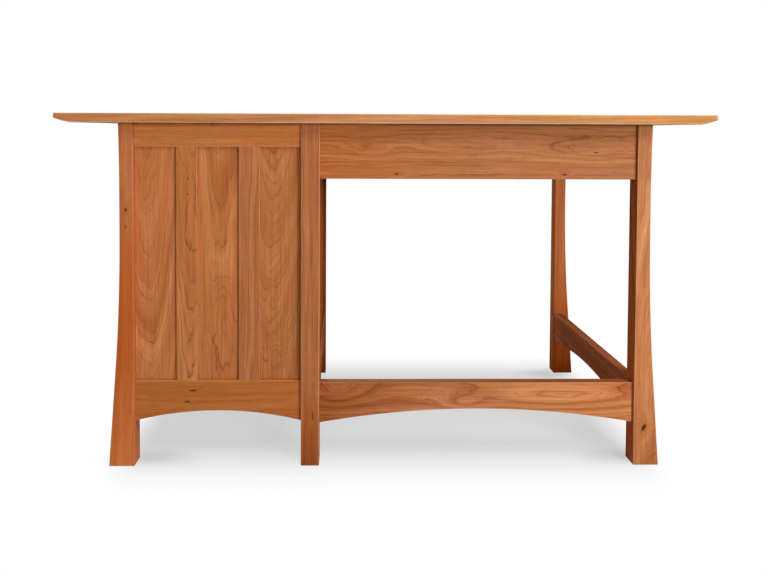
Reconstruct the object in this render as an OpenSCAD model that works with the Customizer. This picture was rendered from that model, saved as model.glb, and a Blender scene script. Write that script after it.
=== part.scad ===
// Study desk with one drawer pedestal beside an open knee space.
// Six legs carry a thin top. Three frame-and-panel sides close the pedestal.
// Origin: on the floor, under the middle of the desktop.
// +X points to the pedestal side, +Y to the back and +Z up. Millimetres.

/* [Desktop] */
// Height of the desk, from the floor to the top surface
desk_h = 762; // [730:1:800]
// Width of the desktop
top_w = 1400; // [1360:5:1600]
// Thickness of the desktop
top_t = 20; // [18:1:30]
// How far the desktop stands out past the back legs
back_overhang = 24; // [10:1:60]
// How far the desktop stands out past the front legs
front_overhang = 21; // [10:1:60]
// Width of the bevel under each end of the desktop
bevel_w = 35; // [10:1:60]
// Height of that bevel
bevel_h = 9.5; // [4:0.5:14]

/* [Legs] */
// How far the desktop stands out past the waists of the corner legs
side_overhang = 129; // [100:1:150]
// Distance from the front of the front legs to the back of the back legs
frame_d = 595; // [580:5:700]
// Size of every leg from front to back
leg_d = 40; // [36:1:50]
// Width of a corner leg at its waist
leg_waist_w = 30; // [28:1:45]
// How much wider a corner leg is at the top than at its waist
leg_top_flare = 2; // [0.5:0.5:8]
// How much wider a corner leg is at the floor than at its waist
leg_foot_flare = 26; // [5:1:35]
// Height at which a corner leg starts to curve outwards on its way down
leg_waist_z = 500; // [420:5:560]
// Height over which that curve runs, before the leg goes on straight
leg_curve_h = 300; // [200:5:380]
// Height at which a corner leg starts to curve outwards on its way up
leg_shoulder_z = 600; // [570:5:680]
// Width of a middle leg
mid_leg_w = 40; // [36:1:50]
// Small bevel round the bottom of each foot
foot_ease = 2; // [1:0.5:4]

/* [Rails and stretchers] */
// Width of the drawer opening between the pedestal's legs
pedestal_w = 358; // [330:1:420]
// Thickness of the rails and muntins of the back and the knee side
frame_t = 20; // [18:1:24]
// Thickness of the rails and muntins of the pedestal's outer side
side_frame_t = 24; // [22:1:28]
// How far the back rails stand in from the back faces of the legs
back_setback = 7; // [3:1:10]
// How far the knee side stands in from the faces of the middle legs
knee_setback = 3; // [2:1:8]
// Height of the top rails of the pedestal
top_rail_h = 51.5; // [40:0.5:80]
// Height of the top edge of the pedestal's bottom rails above the floor
bottom_rail_z = 185; // [170:1:220]
// Height of the bottom rails at their ends
bottom_rail_h = 88; // [60:1:100]
// How far the arch under a bottom rail rises
bottom_arch = 22; // [8:1:40]
// Height of the aprons
apron_h = 119; // [100:1:130]
// Thickness of the stretchers
stretcher_t = 22; // [18:1:26]
// Height of the top edge of the stretchers above the floor
stretcher_z = 180; // [160:1:220]
// Height of the stretchers at their ends
stretcher_h = 88; // [60:1:110]
// How far the arch under the back stretcher rises
back_arch = 30; // [10:1:45]
// How far the arch under the side stretcher rises
side_arch = 28; // [10:1:45]
// How far the open side's members stand in from the inner faces of the legs
open_setback = 2; // [0:0.5:3]

/* [Panels] */
// Width of the muntins between the panels
muntin_w = 45; // [30:1:60]
// Thickness of the panels
panel_t = 10; // [6:0.5:11]
// How far the panels lie back from the face of their frame
panel_recess = 6; // [3:0.5:6]
// How far a panel's edge reaches into its groove
panel_lip = 7; // [4:0.5:10]
// Number of panels in the pedestal's outer side
side_panel_count = 4; // [2:1:5]

/* [Joints] */
// Length of the tenons on rails and stretchers
tenon_l = 15; // [8:1:17]
// Thickness of the tenons
tenon_t = 8; // [6:0.5:9]
// Shoulder above and below each upright tenon
tenon_shoulder = 6; // [3:1:12]
// Glue space round a tenon
glue_gap = 0.1; // [0.05:0.05:0.3]
// Space at the end of a tenon or a panel's lip
end_gap = 1; // [0.5:0.1:2]
// Wood left between the level front tenons and what is beside them
level_tenon_space = 2; // [1:0.5:4]
// Space on each face of a panel in its groove
panel_fit = 0.2; // [0.1:0.05:0.4]

/* [Front rails] */
// Thickness of the level rails between the drawers
divider_t = 20; // [18:1:26]
// Size of those rails from front to back
divider_d = 40; // [30:1:60]
// How far the front rails stand in from the front faces of the legs
front_setback = 5; // [3:1:8]

/* [Drawers] */
// Height of the openings of the three shallow drawers
shallow_opening_h = 100; // [96:1:115]
// How far the drawer fronts stand in from the front faces of the legs
drawer_setback = 3; // [1:0.5:5]
// Gap round each drawer front
front_gap = 2; // [1:0.5:3]
// Thickness of the drawer fronts
drawer_front_t = 20; // [18:1:24]
// Thickness of the drawers' sides and backs
drawer_side_t = 12; // [10:0.5:15]
// Length of the drawer boxes behind their fronts
drawer_l = 460; // [452:1:500]
// Space above the boxes of the two shallow pedestal drawers
shallow_box_space = 16; // [12:1:30]
// Space above the file drawer's box
file_box_space = 39; // [25:1:80]
// Space above the pencil drawer's box
pencil_box_space = 26; // [20:1:34]
// Space between the floor of an opening and the drawer box
box_lift = 8; // [5:0.5:12]
// How far the drawer sides are let into the back of the front
side_let_in = 8; // [4:0.5:10]
// Thickness of the drawer bottoms
drawer_bottom_t = 6; // [4:0.5:8]
// Height of a drawer bottom above the lower edge of its sides
bottom_up = 10; // [6:0.5:12]
// How far a drawer bottom reaches into its grooves
bottom_lip = 5; // [3:0.5:6]
// How much lower the drawer backs are than their sides
back_drop = 4; // [0:1:10]

/* [Knobs] */
// Diameter of a knob's head
knob_d = 30; // [22:1:36]
// How far a knob stands out from its drawer front
knob_l = 22; // [18:1:23]
// Height of the dome on a knob's face
knob_dome_h = 3; // [1:0.5:5]
// Diameter of a knob's neck
knob_neck_d = 13; // [11:0.5:18]
// Diameter of the peg that holds a knob in its drawer front
peg_d = 9; // [6:0.5:10]
// Length of that peg
peg_l = 14; // [10:1:17]
// Distance from each end of the pencil drawer to its knob
knob_inset = 162; // [100:2:240]

/* [Drawer slides] */
// Length of the drawer slides
slide_l = 450; // [400:10:450]
// Thickness of a closed slide
slide_t = 12.7; // [12:0.1:14]
// Height of a slide
slide_h = 45; // [35:1:46]
// Thickness of the slides' steel
sheet = 1.2; // [0.8:0.1:1.5]
// Running gap between the members of a slide
slide_run = 0.4; // [0.2:0.05:0.6]
// Width of the flanges of a slide's fixed member
case_flange = 9.5; // [6:0.5:11]
// Height of the cleats that pack out the slides in the pedestal
cleat_h = 36; // [30:1:40]
// Thickness of the boards that carry the pencil drawer's slides
hanger_t = 20; // [16:1:24]
// Height of those boards
hanger_h = 60; // [50:1:64]

/* [Top fasteners] */
// Thickness of the buttons that hold the top down
button_t = 18; // [14:1:20]
// Width of a button
button_w = 24; // [18:1:30]
// Length of a button's body
button_l = 32; // [26:1:40]
// Distance from a rail to the screw of its button
button_screw_u = 18; // [10:1:20]
// Thickness of a button's tongue
tongue_t = 6; // [4:0.5:8]
// Length of a button's tongue
tongue_l = 8; // [5:1:10]
// Room at each end of the slot that takes a tongue
slot_room = 6; // [2:1:10]
// Diameter of the screws' shanks
screw_d = 4; // [3:0.5:5]
// Length of the screws under their heads
screw_l = 28; // [24:1:30]
// Diameter of the screws' heads
screw_head_d = 8; // [6:0.5:10]
// Height of the screws' heads
screw_head_h = 2.5; // [2:0.5:3]
// Space round a screw in its hole
screw_gap = 0.15; // [0.1:0.05:0.3]
// How deep the screws' heads sit in the front rails
counterbore = 3; // [2.5:0.5:5]

/* [Hidden] */

$fn = 48;
// Facets of the large circles that cut the arches
arch_fn = 360;
// Points along each curved stretch of a corner leg
leg_steps = 12;
// Extra length of a cut that runs out of its piece
over = 1;

CHERRY = [0.70, 0.42, 0.25];
CHERRY_DARK = [0.62, 0.35, 0.20];
CHERRY_LIGHT = [0.77, 0.50, 0.31];
MAPLE = [0.86, 0.74, 0.56];
STEEL = [0.72, 0.73, 0.75];

// Planes that the pieces share
top_d = frame_d + back_overhang + front_overhang;
under_top = desk_h - top_t;
legs_back_y = top_d / 2 - back_overhang;
legs_front_y = legs_back_y - frame_d;
inner_back_y = legs_back_y - leg_d;
inner_front_y = legs_front_y + leg_d;
corner_x = top_w / 2 - side_overhang - leg_waist_w;
drawer_x0 = corner_x - pedestal_w;
knee_x = drawer_x0 - mid_leg_w;

back_face_y = legs_back_y - back_setback;
side_face_x = corner_x + side_frame_t;
knee_face_x = knee_x + knee_setback;
open_face_x = corner_x + open_setback + stretcher_t;
rails_front_y = legs_front_y + front_setback;

panel_top_z = under_top - top_rail_h;

// Heights of the drawer openings, from the top down
top_rail_z = under_top - divider_t;
upper_z = top_rail_z - shallow_opening_h;
middle_z = upper_z - divider_t - shallow_opening_h;
lower_divider_z = middle_z - divider_t;
file_opening_h = lower_divider_z - bottom_rail_z;

shallow_box_h = shallow_opening_h - box_lift - shallow_box_space;
file_box_h = file_opening_h - box_lift - file_box_space;
pencil_box_h = shallow_opening_h - box_lift - pencil_box_space;

// A member lies along u, with its outward face at v = 0 and its body behind it.
// It is a list of its two ends, thickness, lower edge and upper edge.
BACK_TOP = [drawer_x0, corner_x, frame_t, panel_top_z, under_top];
BACK_LOW = [drawer_x0, corner_x, frame_t, bottom_rail_z - bottom_rail_h, bottom_rail_z];
BACK_APRON = [-corner_x, knee_x, frame_t, under_top - apron_h, under_top];
BACK_STRETCHER = [-corner_x, knee_x, stretcher_t, stretcher_z - stretcher_h, stretcher_z];
SIDE_TOP = [-inner_back_y, -inner_front_y, side_frame_t, panel_top_z, under_top];
SIDE_LOW = [-inner_back_y, -inner_front_y, side_frame_t, bottom_rail_z - bottom_rail_h, bottom_rail_z];
KNEE_TOP = [inner_front_y, inner_back_y, frame_t, panel_top_z, under_top];
KNEE_LOW = [inner_front_y, inner_back_y, frame_t, bottom_rail_z - bottom_rail_h, bottom_rail_z];
OPEN_APRON = [inner_front_y, inner_back_y, stretcher_t, under_top - apron_h, under_top];
OPEN_STRETCHER = [inner_front_y, inner_back_y, stretcher_t, stretcher_z - stretcher_h, stretcher_z];
FRONT_LOW = [-corner_x, -drawer_x0, frame_t, bottom_rail_z - bottom_rail_h, bottom_rail_z];

// A level front rail is a list of its two ends in x and its lower face
DRAWER_TOP_RAIL = [drawer_x0, corner_x, top_rail_z];
UPPER_DIVIDER = [drawer_x0, corner_x, upper_z - divider_t];
LOWER_DIVIDER = [drawer_x0, corner_x, lower_divider_z];
KNEE_TOP_RAIL = [-corner_x, knee_x, top_rail_z];
KNEE_LOWER_RAIL = [-corner_x, knee_x, upper_z - divider_t];

// A drawer is a list of its opening's two sides, floor and height, its box
// height, the two walls that carry its slides, and the places of its knobs
PEDESTAL_KNOBS = [(drawer_x0 + corner_x) / 2];
UPPER = [drawer_x0, corner_x, upper_z, shallow_opening_h, shallow_box_h, drawer_x0, corner_x, PEDESTAL_KNOBS];
MIDDLE = [drawer_x0, corner_x, middle_z, shallow_opening_h, shallow_box_h, drawer_x0, corner_x, PEDESTAL_KNOBS];
FILE = [drawer_x0, corner_x, bottom_rail_z, file_opening_h, file_box_h, drawer_x0, corner_x, PEDESTAL_KNOBS];
PENCIL = [-corner_x, knee_x, upper_z, shallow_opening_h, pencil_box_h,
          hanger_t - corner_x, knee_x - hanger_t, [knob_inset - corner_x, knee_x - knob_inset]];

drawer_face_y = legs_front_y + drawer_setback;
box_front_y = drawer_face_y + drawer_front_t;
box_back_y = box_front_y + drawer_l;
slide_y = box_front_y + front_gap;

// Places along the rails where buttons hold the top, and where screws pass up,
// as shares of a rail's length from its first end
APRON_BUTTONS = [0.12, 0.5, 0.88];
PEDESTAL_BACK_BUTTONS = [0.5];
SIDE_BUTTONS = [0.25, 0.75];
RAIL_SCREWS = [0.15, 0.85];

function box_z(d) = d[2] + box_lift;
function slide_z(d) = box_z(d) + d[4] / 2;
function bottom_z(d) = box_z(d) + bottom_up;
function opening_w(u0, u1, n) = (u1 - u0 - (n - 1) * muntin_w) / n;
function panel_u(u0, u1, n, i) = u0 + i * (opening_w(u0, u1, n) + muntin_w);

// How far a corner leg's outer face lies outside its waist at height z
leg_slope = leg_foot_flare / (leg_waist_z - leg_curve_h / 2);
function leg_low_flare(s) =
    s < leg_curve_h ? leg_slope * s * s / (2 * leg_curve_h) : leg_slope * (s - leg_curve_h / 2);
function leg_high_flare(s) = leg_top_flare * pow(s / (under_top - leg_shoulder_z), 2);

// Frames of the faces. Each turns v to point out of the desk.
module on_back() translate([0, back_face_y, 0]) children();
module on_side() translate([side_face_x, 0, 0]) rotate([0, 0, -90]) children();
module on_knee() translate([knee_face_x, 0, 0]) rotate([0, 0, 90]) children();
module on_open() translate([-open_face_x, 0, 0]) rotate([0, 0, 90]) children();
module on_front() translate([0, rails_front_y, 0]) rotate([0, 0, 180]) children();

// A box from its lowest corner to its highest one
module block(low, high) translate(low) cube(high - low);

// The body of a member, without its tenons
module member(m) block([m[0], -m[2], m[3]], [m[1], 0, m[4]]);

// The two tenons of a member. With a gap above 0 they are the mortises.
module tenons(m, gap = 0) {
    end = gap > 0 ? end_gap : 0;
    v = -m[2] / 2;
    for (u = [m[0] - tenon_l - end, m[1] - over])
        block([u, v - tenon_t / 2 - gap, m[3] + tenon_shoulder - gap],
              [u + tenon_l + end + over, v + tenon_t / 2 + gap, m[4] - tenon_shoulder + gap]);
}

module rail(m) {
    member(m);
    tenons(m);
}

// The circle that leaves an arch of the given rise under a member
module arch_cut(m, rise) {
    half = (m[1] - m[0]) / 2;
    radius = (half * half + rise * rise) / (2 * rise);
    translate([m[0] + half, over, m[3] + rise - radius])
        rotate([90, 0, 0])
            cylinder(r = radius, h = m[2] + 2 * over, $fn = arch_fn);
}

module arched_rail(m, rise) {
    difference() {
        member(m);
        arch_cut(m, rise);
    }
    tenons(m);
}

// One panel, whose lips reach into the frame. With a gap it is the groove.
module panel_slab(u0, u1, n, i, gap = 0) {
    lip = panel_lip + (gap > 0 ? end_gap : 0);
    u = panel_u(u0, u1, n, i);
    block([u - lip, -panel_recess - panel_t - gap, bottom_rail_z - lip],
          [u + opening_w(u0, u1, n) + lip, -panel_recess + gap, panel_top_z + lip]);
}

module panel_slabs(u0, u1, n, gap = 0) {
    for (i = [0 : n - 1])
        panel_slab(u0, u1, n, i, gap);
}

// The tongue through a muntin that sits in the grooves of both rails
module muntin_tongue(u0, u1, n, i, gap = 0) {
    lip = panel_lip + (gap > 0 ? end_gap : 0);
    u = panel_u(u0, u1, n, i) - muntin_w;
    block([u, -panel_recess - panel_t - gap, bottom_rail_z - lip],
          [u + muntin_w, -panel_recess + gap, panel_top_z + lip]);
}

module muntin_tongues(u0, u1, n, gap = 0) {
    for (i = [1 : 1 : n - 1])
        muntin_tongue(u0, u1, n, i, gap);
}

// The muntin to the left of panel i
module muntin(u0, u1, n, i, t) {
    u = panel_u(u0, u1, n, i) - muntin_w;
    difference() {
        union() {
            block([u, -t, bottom_rail_z], [u + muntin_w, 0, panel_top_z]);
            muntin_tongue(u0, u1, n, i);
        }
        panel_slab(u0, u1, n, i - 1, panel_fit);
        panel_slab(u0, u1, n, i, panel_fit);
    }
}

// Everything that is let into the legs, with its glue space
module joinery() {
    on_back() {
        for (m = [BACK_TOP, BACK_LOW, BACK_APRON, BACK_STRETCHER])
            tenons(m, glue_gap);
        panel_slabs(drawer_x0, corner_x, 3, panel_fit);
    }
    on_side() {
        for (m = [SIDE_TOP, SIDE_LOW])
            tenons(m, glue_gap);
        panel_slabs(-inner_back_y, -inner_front_y, side_panel_count, panel_fit);
    }
    on_knee() {
        for (m = [KNEE_TOP, KNEE_LOW])
            tenons(m, glue_gap);
        panel_slabs(inner_front_y, inner_back_y, 1, panel_fit);
    }
    on_open() {
        for (m = [OPEN_APRON, OPEN_STRETCHER])
            tenons(m, glue_gap);
    }
    on_front() tenons(FRONT_LOW, glue_gap);
    for (r = [DRAWER_TOP_RAIL, UPPER_DIVIDER, LOWER_DIVIDER, KNEE_TOP_RAIL, KNEE_LOWER_RAIL])
        level_tenons(r, glue_gap);
}

// A corner leg: straight inside, curved outside, with its inner face at x = 0
module corner_leg_blank() {
    low = [for (k = [0 : leg_steps]) leg_curve_h * k / leg_steps];
    high = [for (k = [0 : leg_steps]) (under_top - leg_shoulder_z) * k / leg_steps];
    foot_x = leg_waist_w + leg_foot_flare;
    outline = concat(
        [[0, foot_ease], [0, under_top]],
        [for (s = high) [leg_waist_w + leg_high_flare(under_top - leg_shoulder_z - s), under_top - s]],
        [for (s = low) [leg_waist_w + leg_low_flare(s), leg_waist_z - s]],
        [[foot_x - leg_slope * foot_ease, foot_ease], [foot_x - leg_slope * foot_ease - foot_ease, 0],
         [foot_ease, 0]]);
    translate([0, leg_d, 0])
        rotate([90, 0, 0])
            linear_extrude(leg_d)
                polygon(outline);
}

module corner_leg(side, y) {
    color(CHERRY)
        difference() {
            translate([side * corner_x, y, 0])
                mirror([side < 0 ? 1 : 0, 0, 0])
                    corner_leg_blank();
            joinery();
        }
}

module middle_leg(y) {
    outline = [[foot_ease, 0], [0, foot_ease], [0, under_top], [mid_leg_w, under_top],
               [mid_leg_w, foot_ease], [mid_leg_w - foot_ease, 0]];
    color(CHERRY)
        difference() {
            translate([knee_x, y + leg_d, 0])
                rotate([90, 0, 0])
                    linear_extrude(leg_d)
                        polygon(outline);
            joinery();
        }
}

module leg_back_pedestal() corner_leg(1, inner_back_y);
module leg_back_open() corner_leg(-1, inner_back_y);
module leg_front_pedestal() corner_leg(1, legs_front_y);
module leg_front_open() corner_leg(-1, legs_front_y);
module leg_back_middle() middle_leg(inner_back_y);
module leg_front_middle() middle_leg(legs_front_y);

module desktop() {
    half = top_w / 2;
    outline = [[-half, desk_h], [half, desk_h], [half, under_top + bevel_h],
               [half - bevel_w, under_top], [bevel_w - half, under_top], [-half, under_top + bevel_h]];
    color(CHERRY_LIGHT)
        difference() {
            translate([0, top_d / 2, 0])
                rotate([90, 0, 0])
                    linear_extrude(top_d)
                        polygon(outline);
            button_sites() screw_hole(0);
            rail_screw_sites() screw_hole(counterbore);
        }
}

// Frames at the buttons: the origin is on a rail's inner face, under the top,
// and +Y points into the rail
module button_sites() {
    on_back() {
        sites_along(BACK_APRON, APRON_BUTTONS) children();
        sites_along(BACK_TOP, PEDESTAL_BACK_BUTTONS) children();
    }
    on_side() sites_along(SIDE_TOP, SIDE_BUTTONS) children();
    on_open() sites_along(OPEN_APRON, SIDE_BUTTONS) children();
}

module sites_along(m, shares) {
    for (k = shares)
        translate([m[0] + k * (m[1] - m[0]), -m[2], under_top]) children();
}

// Frames at the screws through the front rails, under the top
module rail_screw_sites() {
    for (r = [DRAWER_TOP_RAIL, KNEE_TOP_RAIL])
        for (k = RAIL_SCREWS)
            translate([r[0] + k * (r[1] - r[0]), rails_front_y + divider_d / 2 + button_screw_u, under_top])
                children();
}

// A button, its screw's hole and the slot for its tongue
module button_hole() translate([0, -button_screw_u, -button_t - over])
    cylinder(d = screw_d + 2 * screw_gap, h = button_t + 2 * over);

module button() {
    difference() {
        union() {
            block([-button_w / 2, -button_l, -button_t], [button_w / 2, 0, 0]);
            block([-button_w / 2, -over, -button_t], [button_w / 2, tongue_l, -button_t + tongue_t]);
        }
        button_hole();
    }
}

module button_slot() {
    block([-button_w / 2 - slot_room, -over, -button_t - end_gap],
          [button_w / 2 + slot_room, tongue_l + end_gap, -button_t + tongue_t]);
}

// A screw whose head bears on the underside of a button, or sits deeper in a rail
module screw(depth) {
    translate([0, -button_screw_u, depth - button_t]) {
        cylinder(d = screw_d, h = screw_l);
        translate([0, 0, -screw_head_h])
            cylinder(d = screw_head_d, h = screw_head_h);
    }
}

// The blind hole for a screw's end in the underside of the desktop
module screw_hole(depth) {
    reach = screw_l + depth - button_t;
    translate([0, -button_screw_u, -over])
        cylinder(d = screw_d + 2 * screw_gap, h = reach + over + screw_gap);
}

module tabletop_buttons() color(CHERRY_DARK) button_sites() button();

module top_screws() {
    color(STEEL) {
        button_sites() screw(0);
        rail_screw_sites() screw(counterbore - divider_t + button_t);
    }
}

module back_apron() {
    color(CHERRY)
        difference() {
            on_back() rail(BACK_APRON);
            button_sites() button_slot();
        }
}

module back_stretcher() color(CHERRY) on_back() arched_rail(BACK_STRETCHER, back_arch);

module side_apron() {
    color(CHERRY)
        difference() {
            on_open() rail(OPEN_APRON);
            button_sites() button_slot();
        }
}

module side_stretcher() color(CHERRY) on_open() arched_rail(OPEN_STRETCHER, side_arch);

module back_top_rail() {
    color(CHERRY)
        difference() {
            on_back()
                difference() {
                    rail(BACK_TOP);
                    panel_slabs(drawer_x0, corner_x, 3, panel_fit);
                    muntin_tongues(drawer_x0, corner_x, 3, panel_fit);
                }
            button_sites() button_slot();
        }
}

module back_bottom_rail() {
    color(CHERRY)
        on_back()
            difference() {
                arched_rail(BACK_LOW, bottom_arch);
                panel_slabs(drawer_x0, corner_x, 3, panel_fit);
                muntin_tongues(drawer_x0, corner_x, 3, panel_fit);
            }
}

module back_muntin_inner() color(CHERRY) on_back() muntin(drawer_x0, corner_x, 3, 1, frame_t);
module back_muntin_outer() color(CHERRY) on_back() muntin(drawer_x0, corner_x, 3, 2, frame_t);
module back_panel_inner() color(CHERRY_DARK) on_back() panel_slab(drawer_x0, corner_x, 3, 0);
module back_panel_centre() color(CHERRY_DARK) on_back() panel_slab(drawer_x0, corner_x, 3, 1);
module back_panel_outer() color(CHERRY_DARK) on_back() panel_slab(drawer_x0, corner_x, 3, 2);

module side_top_rail() {
    color(CHERRY)
        difference() {
            on_side()
                difference() {
                    rail(SIDE_TOP);
                    panel_slabs(-inner_back_y, -inner_front_y, side_panel_count, panel_fit);
                    muntin_tongues(-inner_back_y, -inner_front_y, side_panel_count, panel_fit);
                }
            button_sites() button_slot();
        }
}

module side_bottom_rail() {
    color(CHERRY)
        on_side()
            difference() {
                arched_rail(SIDE_LOW, bottom_arch);
                panel_slabs(-inner_back_y, -inner_front_y, side_panel_count, panel_fit);
                muntin_tongues(-inner_back_y, -inner_front_y, side_panel_count, panel_fit);
            }
}

module side_muntins() {
    color(CHERRY)
        on_side()
            for (i = [1 : side_panel_count - 1])
                muntin(-inner_back_y, -inner_front_y, side_panel_count, i, side_frame_t);
}

module side_panels() {
    color(CHERRY_DARK)
        on_side()
            panel_slabs(-inner_back_y, -inner_front_y, side_panel_count);
}

module knee_side_top_rail() {
    color(CHERRY)
        on_knee()
            difference() {
                rail(KNEE_TOP);
                panel_slabs(inner_front_y, inner_back_y, 1, panel_fit);
            }
}

module knee_side_bottom_rail() {
    color(CHERRY)
        on_knee()
            difference() {
                arched_rail(KNEE_LOW, bottom_arch);
                panel_slabs(inner_front_y, inner_back_y, 1, panel_fit);
            }
}

module knee_side_panel() {
    color(CHERRY_DARK)
        on_knee()
            panel_slab(inner_front_y, inner_back_y, 1, 0);
}

// The tenons of a level front rail, kept clear of the side rails' tenons
module level_tenons(r, gap = 0) {
    end = gap > 0 ? end_gap : 0;
    z = r[2] + divider_t / 2;
    front_y = rails_front_y + level_tenon_space;
    back_y = legs_front_y + leg_d - tenon_l - end_gap - level_tenon_space;
    for (x = [r[0] - tenon_l - end, r[1] - over])
        block([x, front_y - gap, z - tenon_t / 2 - gap],
              [x + tenon_l + end + over, back_y + gap, z + tenon_t / 2 + gap]);
}

module level_rail(r) {
    block([r[0], rails_front_y, r[2]], [r[1], rails_front_y + divider_d, r[2] + divider_t]);
    level_tenons(r);
}

// The hole and counterbore of a screw that goes up through a level rail
module rail_screw_cut() {
    translate([0, -button_screw_u, -divider_t - over]) {
        cylinder(d = screw_d + 2 * screw_gap, h = divider_t + 2 * over);
        cylinder(d = screw_head_d + 2 * screw_gap, h = counterbore + over);
    }
}

module screwed_rail(r) {
    difference() {
        level_rail(r);
        rail_screw_sites() rail_screw_cut();
    }
}

module drawer_top_rail() color(CHERRY) screwed_rail(DRAWER_TOP_RAIL);
module knee_top_rail() color(CHERRY) screwed_rail(KNEE_TOP_RAIL);
module upper_divider() color(CHERRY) level_rail(UPPER_DIVIDER);
module lower_divider() color(CHERRY) level_rail(LOWER_DIVIDER);
module knee_lower_rail() color(CHERRY) level_rail(KNEE_LOWER_RAIL);
module front_bottom_rail() color(CHERRY) on_front() arched_rail(FRONT_LOW, bottom_arch);

// Cleats between the knee side's panel and the pedestal's left slides
module slide_cleats() {
    x = knee_face_x + panel_recess + panel_t;
    color(MAPLE)
        for (d = [UPPER, MIDDLE, FILE])
            block([x, inner_front_y, slide_z(d) - cleat_h / 2],
                  [drawer_x0, inner_back_y, slide_z(d) + cleat_h / 2]);
}

// Boards on the legs at both sides of the pencil drawer
module drawer_hangers() {
    z = slide_z(PENCIL) - hanger_h / 2;
    color(MAPLE)
        for (x = [-corner_x, knee_x - hanger_t])
            block([x, slide_y, z], [x + hanger_t, back_face_y - frame_t, z + hanger_h]);
}

// A channel of folded steel: a web and two flanges
module channel(web_x, flange_x0, flange_x1, half_h) {
    block([web_x, slide_y, -half_h], [web_x + sheet, slide_y + slide_l, half_h]);
    for (z = [-half_h, half_h - sheet])
        block([flange_x0, slide_y, z], [flange_x1, slide_y + slide_l, z + sheet]);
}

// Puts a shape on both slide walls of a drawer, with +X towards the drawer
module on_slide_walls(d) {
    translate([d[5], 0, slide_z(d)]) children();
    translate([d[6], 0, slide_z(d)]) mirror([1, 0, 0]) children();
}

module slide_case() channel(0, 0, case_flange, slide_h / 2);
module slide_carrier() {
    x = sheet + slide_run;
    channel(x, x, slide_t - sheet - slide_run, slide_h / 2 - sheet - slide_run);
}
module slide_runner() {
    channel(slide_t - sheet, 2 * (sheet + slide_run), slide_t, slide_h / 2 - 2 * (sheet + slide_run));
}

module slide_cases() {
    color(STEEL)
        for (d = [UPPER, MIDDLE, FILE, PENCIL])
            on_slide_walls(d) slide_case();
}

module upper_slide_carriers() color(STEEL) on_slide_walls(UPPER) slide_carrier();
module middle_slide_carriers() color(STEEL) on_slide_walls(MIDDLE) slide_carrier();
module file_slide_carriers() color(STEEL) on_slide_walls(FILE) slide_carrier();
module pencil_slide_carriers() color(STEEL) on_slide_walls(PENCIL) slide_carrier();
module upper_slide_runners() color(STEEL) on_slide_walls(UPPER) slide_runner();
module middle_slide_runners() color(STEEL) on_slide_walls(MIDDLE) slide_runner();
module file_slide_runners() color(STEEL) on_slide_walls(FILE) slide_runner();
module pencil_slide_runners() color(STEEL) on_slide_walls(PENCIL) slide_runner();

// The two sides of a drawer, let into its front
module drawer_sides(d, gap = 0) {
    for (x = [d[5] + slide_t, d[6] - slide_t - drawer_side_t])
        block([x - gap, box_front_y - side_let_in - gap, box_z(d) - gap],
              [x + drawer_side_t + gap, box_back_y, box_z(d) + d[4] + gap]);
}

// The bottom of a drawer, in the grooves of its sides and front
module drawer_floor(d, gap = 0) {
    lip = bottom_lip + (gap > 0 ? end_gap : 0);
    side_x = slide_t + drawer_side_t;
    block([d[5] + side_x - lip, box_front_y - lip, bottom_z(d) - gap],
          [d[6] - side_x + lip, box_back_y + (gap > 0 ? over : 0), bottom_z(d) + drawer_bottom_t + gap]);
}

module knob_sites(d) {
    for (x = d[7])
        translate([x, drawer_face_y, d[2] + d[3] / 2])
            rotate([90, 0, 0])
                children();
}

module drawer_front(d) {
    color(CHERRY_LIGHT)
        difference() {
            block([d[0] + front_gap, drawer_face_y, d[2] + front_gap],
                  [d[1] - front_gap, box_front_y, d[2] + d[3] - front_gap]);
            drawer_sides(d, glue_gap);
            drawer_floor(d, panel_fit);
            knob_sites(d)
                translate([0, 0, -peg_l - end_gap])
                    cylinder(d = peg_d + 2 * glue_gap, h = peg_l + end_gap + over);
        }
}

module drawer_box(d) {
    side_x = slide_t + drawer_side_t;
    floor_top = bottom_z(d) + drawer_bottom_t + panel_fit;
    color(MAPLE) {
        difference() {
            drawer_sides(d);
            drawer_floor(d, panel_fit);
        }
        block([d[5] + side_x + glue_gap, box_back_y - drawer_side_t, floor_top],
              [d[6] - side_x - glue_gap, box_back_y, box_z(d) + d[4] - back_drop]);
    }
}

module drawer_bottom(d) color(MAPLE) drawer_floor(d);

// A turned knob: peg, neck, swelling head and domed face
module drawer_knob(d) {
    head_r = knob_d / 2;
    neck_r = knob_neck_d / 2;
    foot_w = 2;
    rim_z = knob_l - knob_dome_h;
    rim_h = 4;
    swell_h = 5;
    ease = 1;
    outline = [[0, 0], [neck_r + foot_w, 0], [neck_r, foot_w + ease], [neck_r, rim_z - rim_h - swell_h],
               [head_r - ease, rim_z - rim_h], [head_r, rim_z - rim_h / 2], [head_r - ease, rim_z],
               [head_r * 0.6, rim_z + knob_dome_h * 0.75], [0, knob_l]];
    color(CHERRY_DARK)
        knob_sites(d)
            rotate_extrude($fn = 64)
                union() {
                    translate([0, -peg_l]) square([peg_d / 2, peg_l + over]);
                    polygon(outline);
                }
}

module upper_drawer_front() drawer_front(UPPER);
module middle_drawer_front() drawer_front(MIDDLE);
module file_drawer_front() drawer_front(FILE);
module pencil_drawer_front() drawer_front(PENCIL);
module upper_drawer_box() drawer_box(UPPER);
module middle_drawer_box() drawer_box(MIDDLE);
module file_drawer_box() drawer_box(FILE);
module pencil_drawer_box() drawer_box(PENCIL);
module upper_drawer_bottom() drawer_bottom(UPPER);
module middle_drawer_bottom() drawer_bottom(MIDDLE);
module file_drawer_bottom() drawer_bottom(FILE);
module pencil_drawer_bottom() drawer_bottom(PENCIL);
module upper_drawer_knob() drawer_knob(UPPER);
module middle_drawer_knob() drawer_knob(MIDDLE);
module file_drawer_knob() drawer_knob(FILE);
module pencil_drawer_knobs() drawer_knob(PENCIL);

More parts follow.
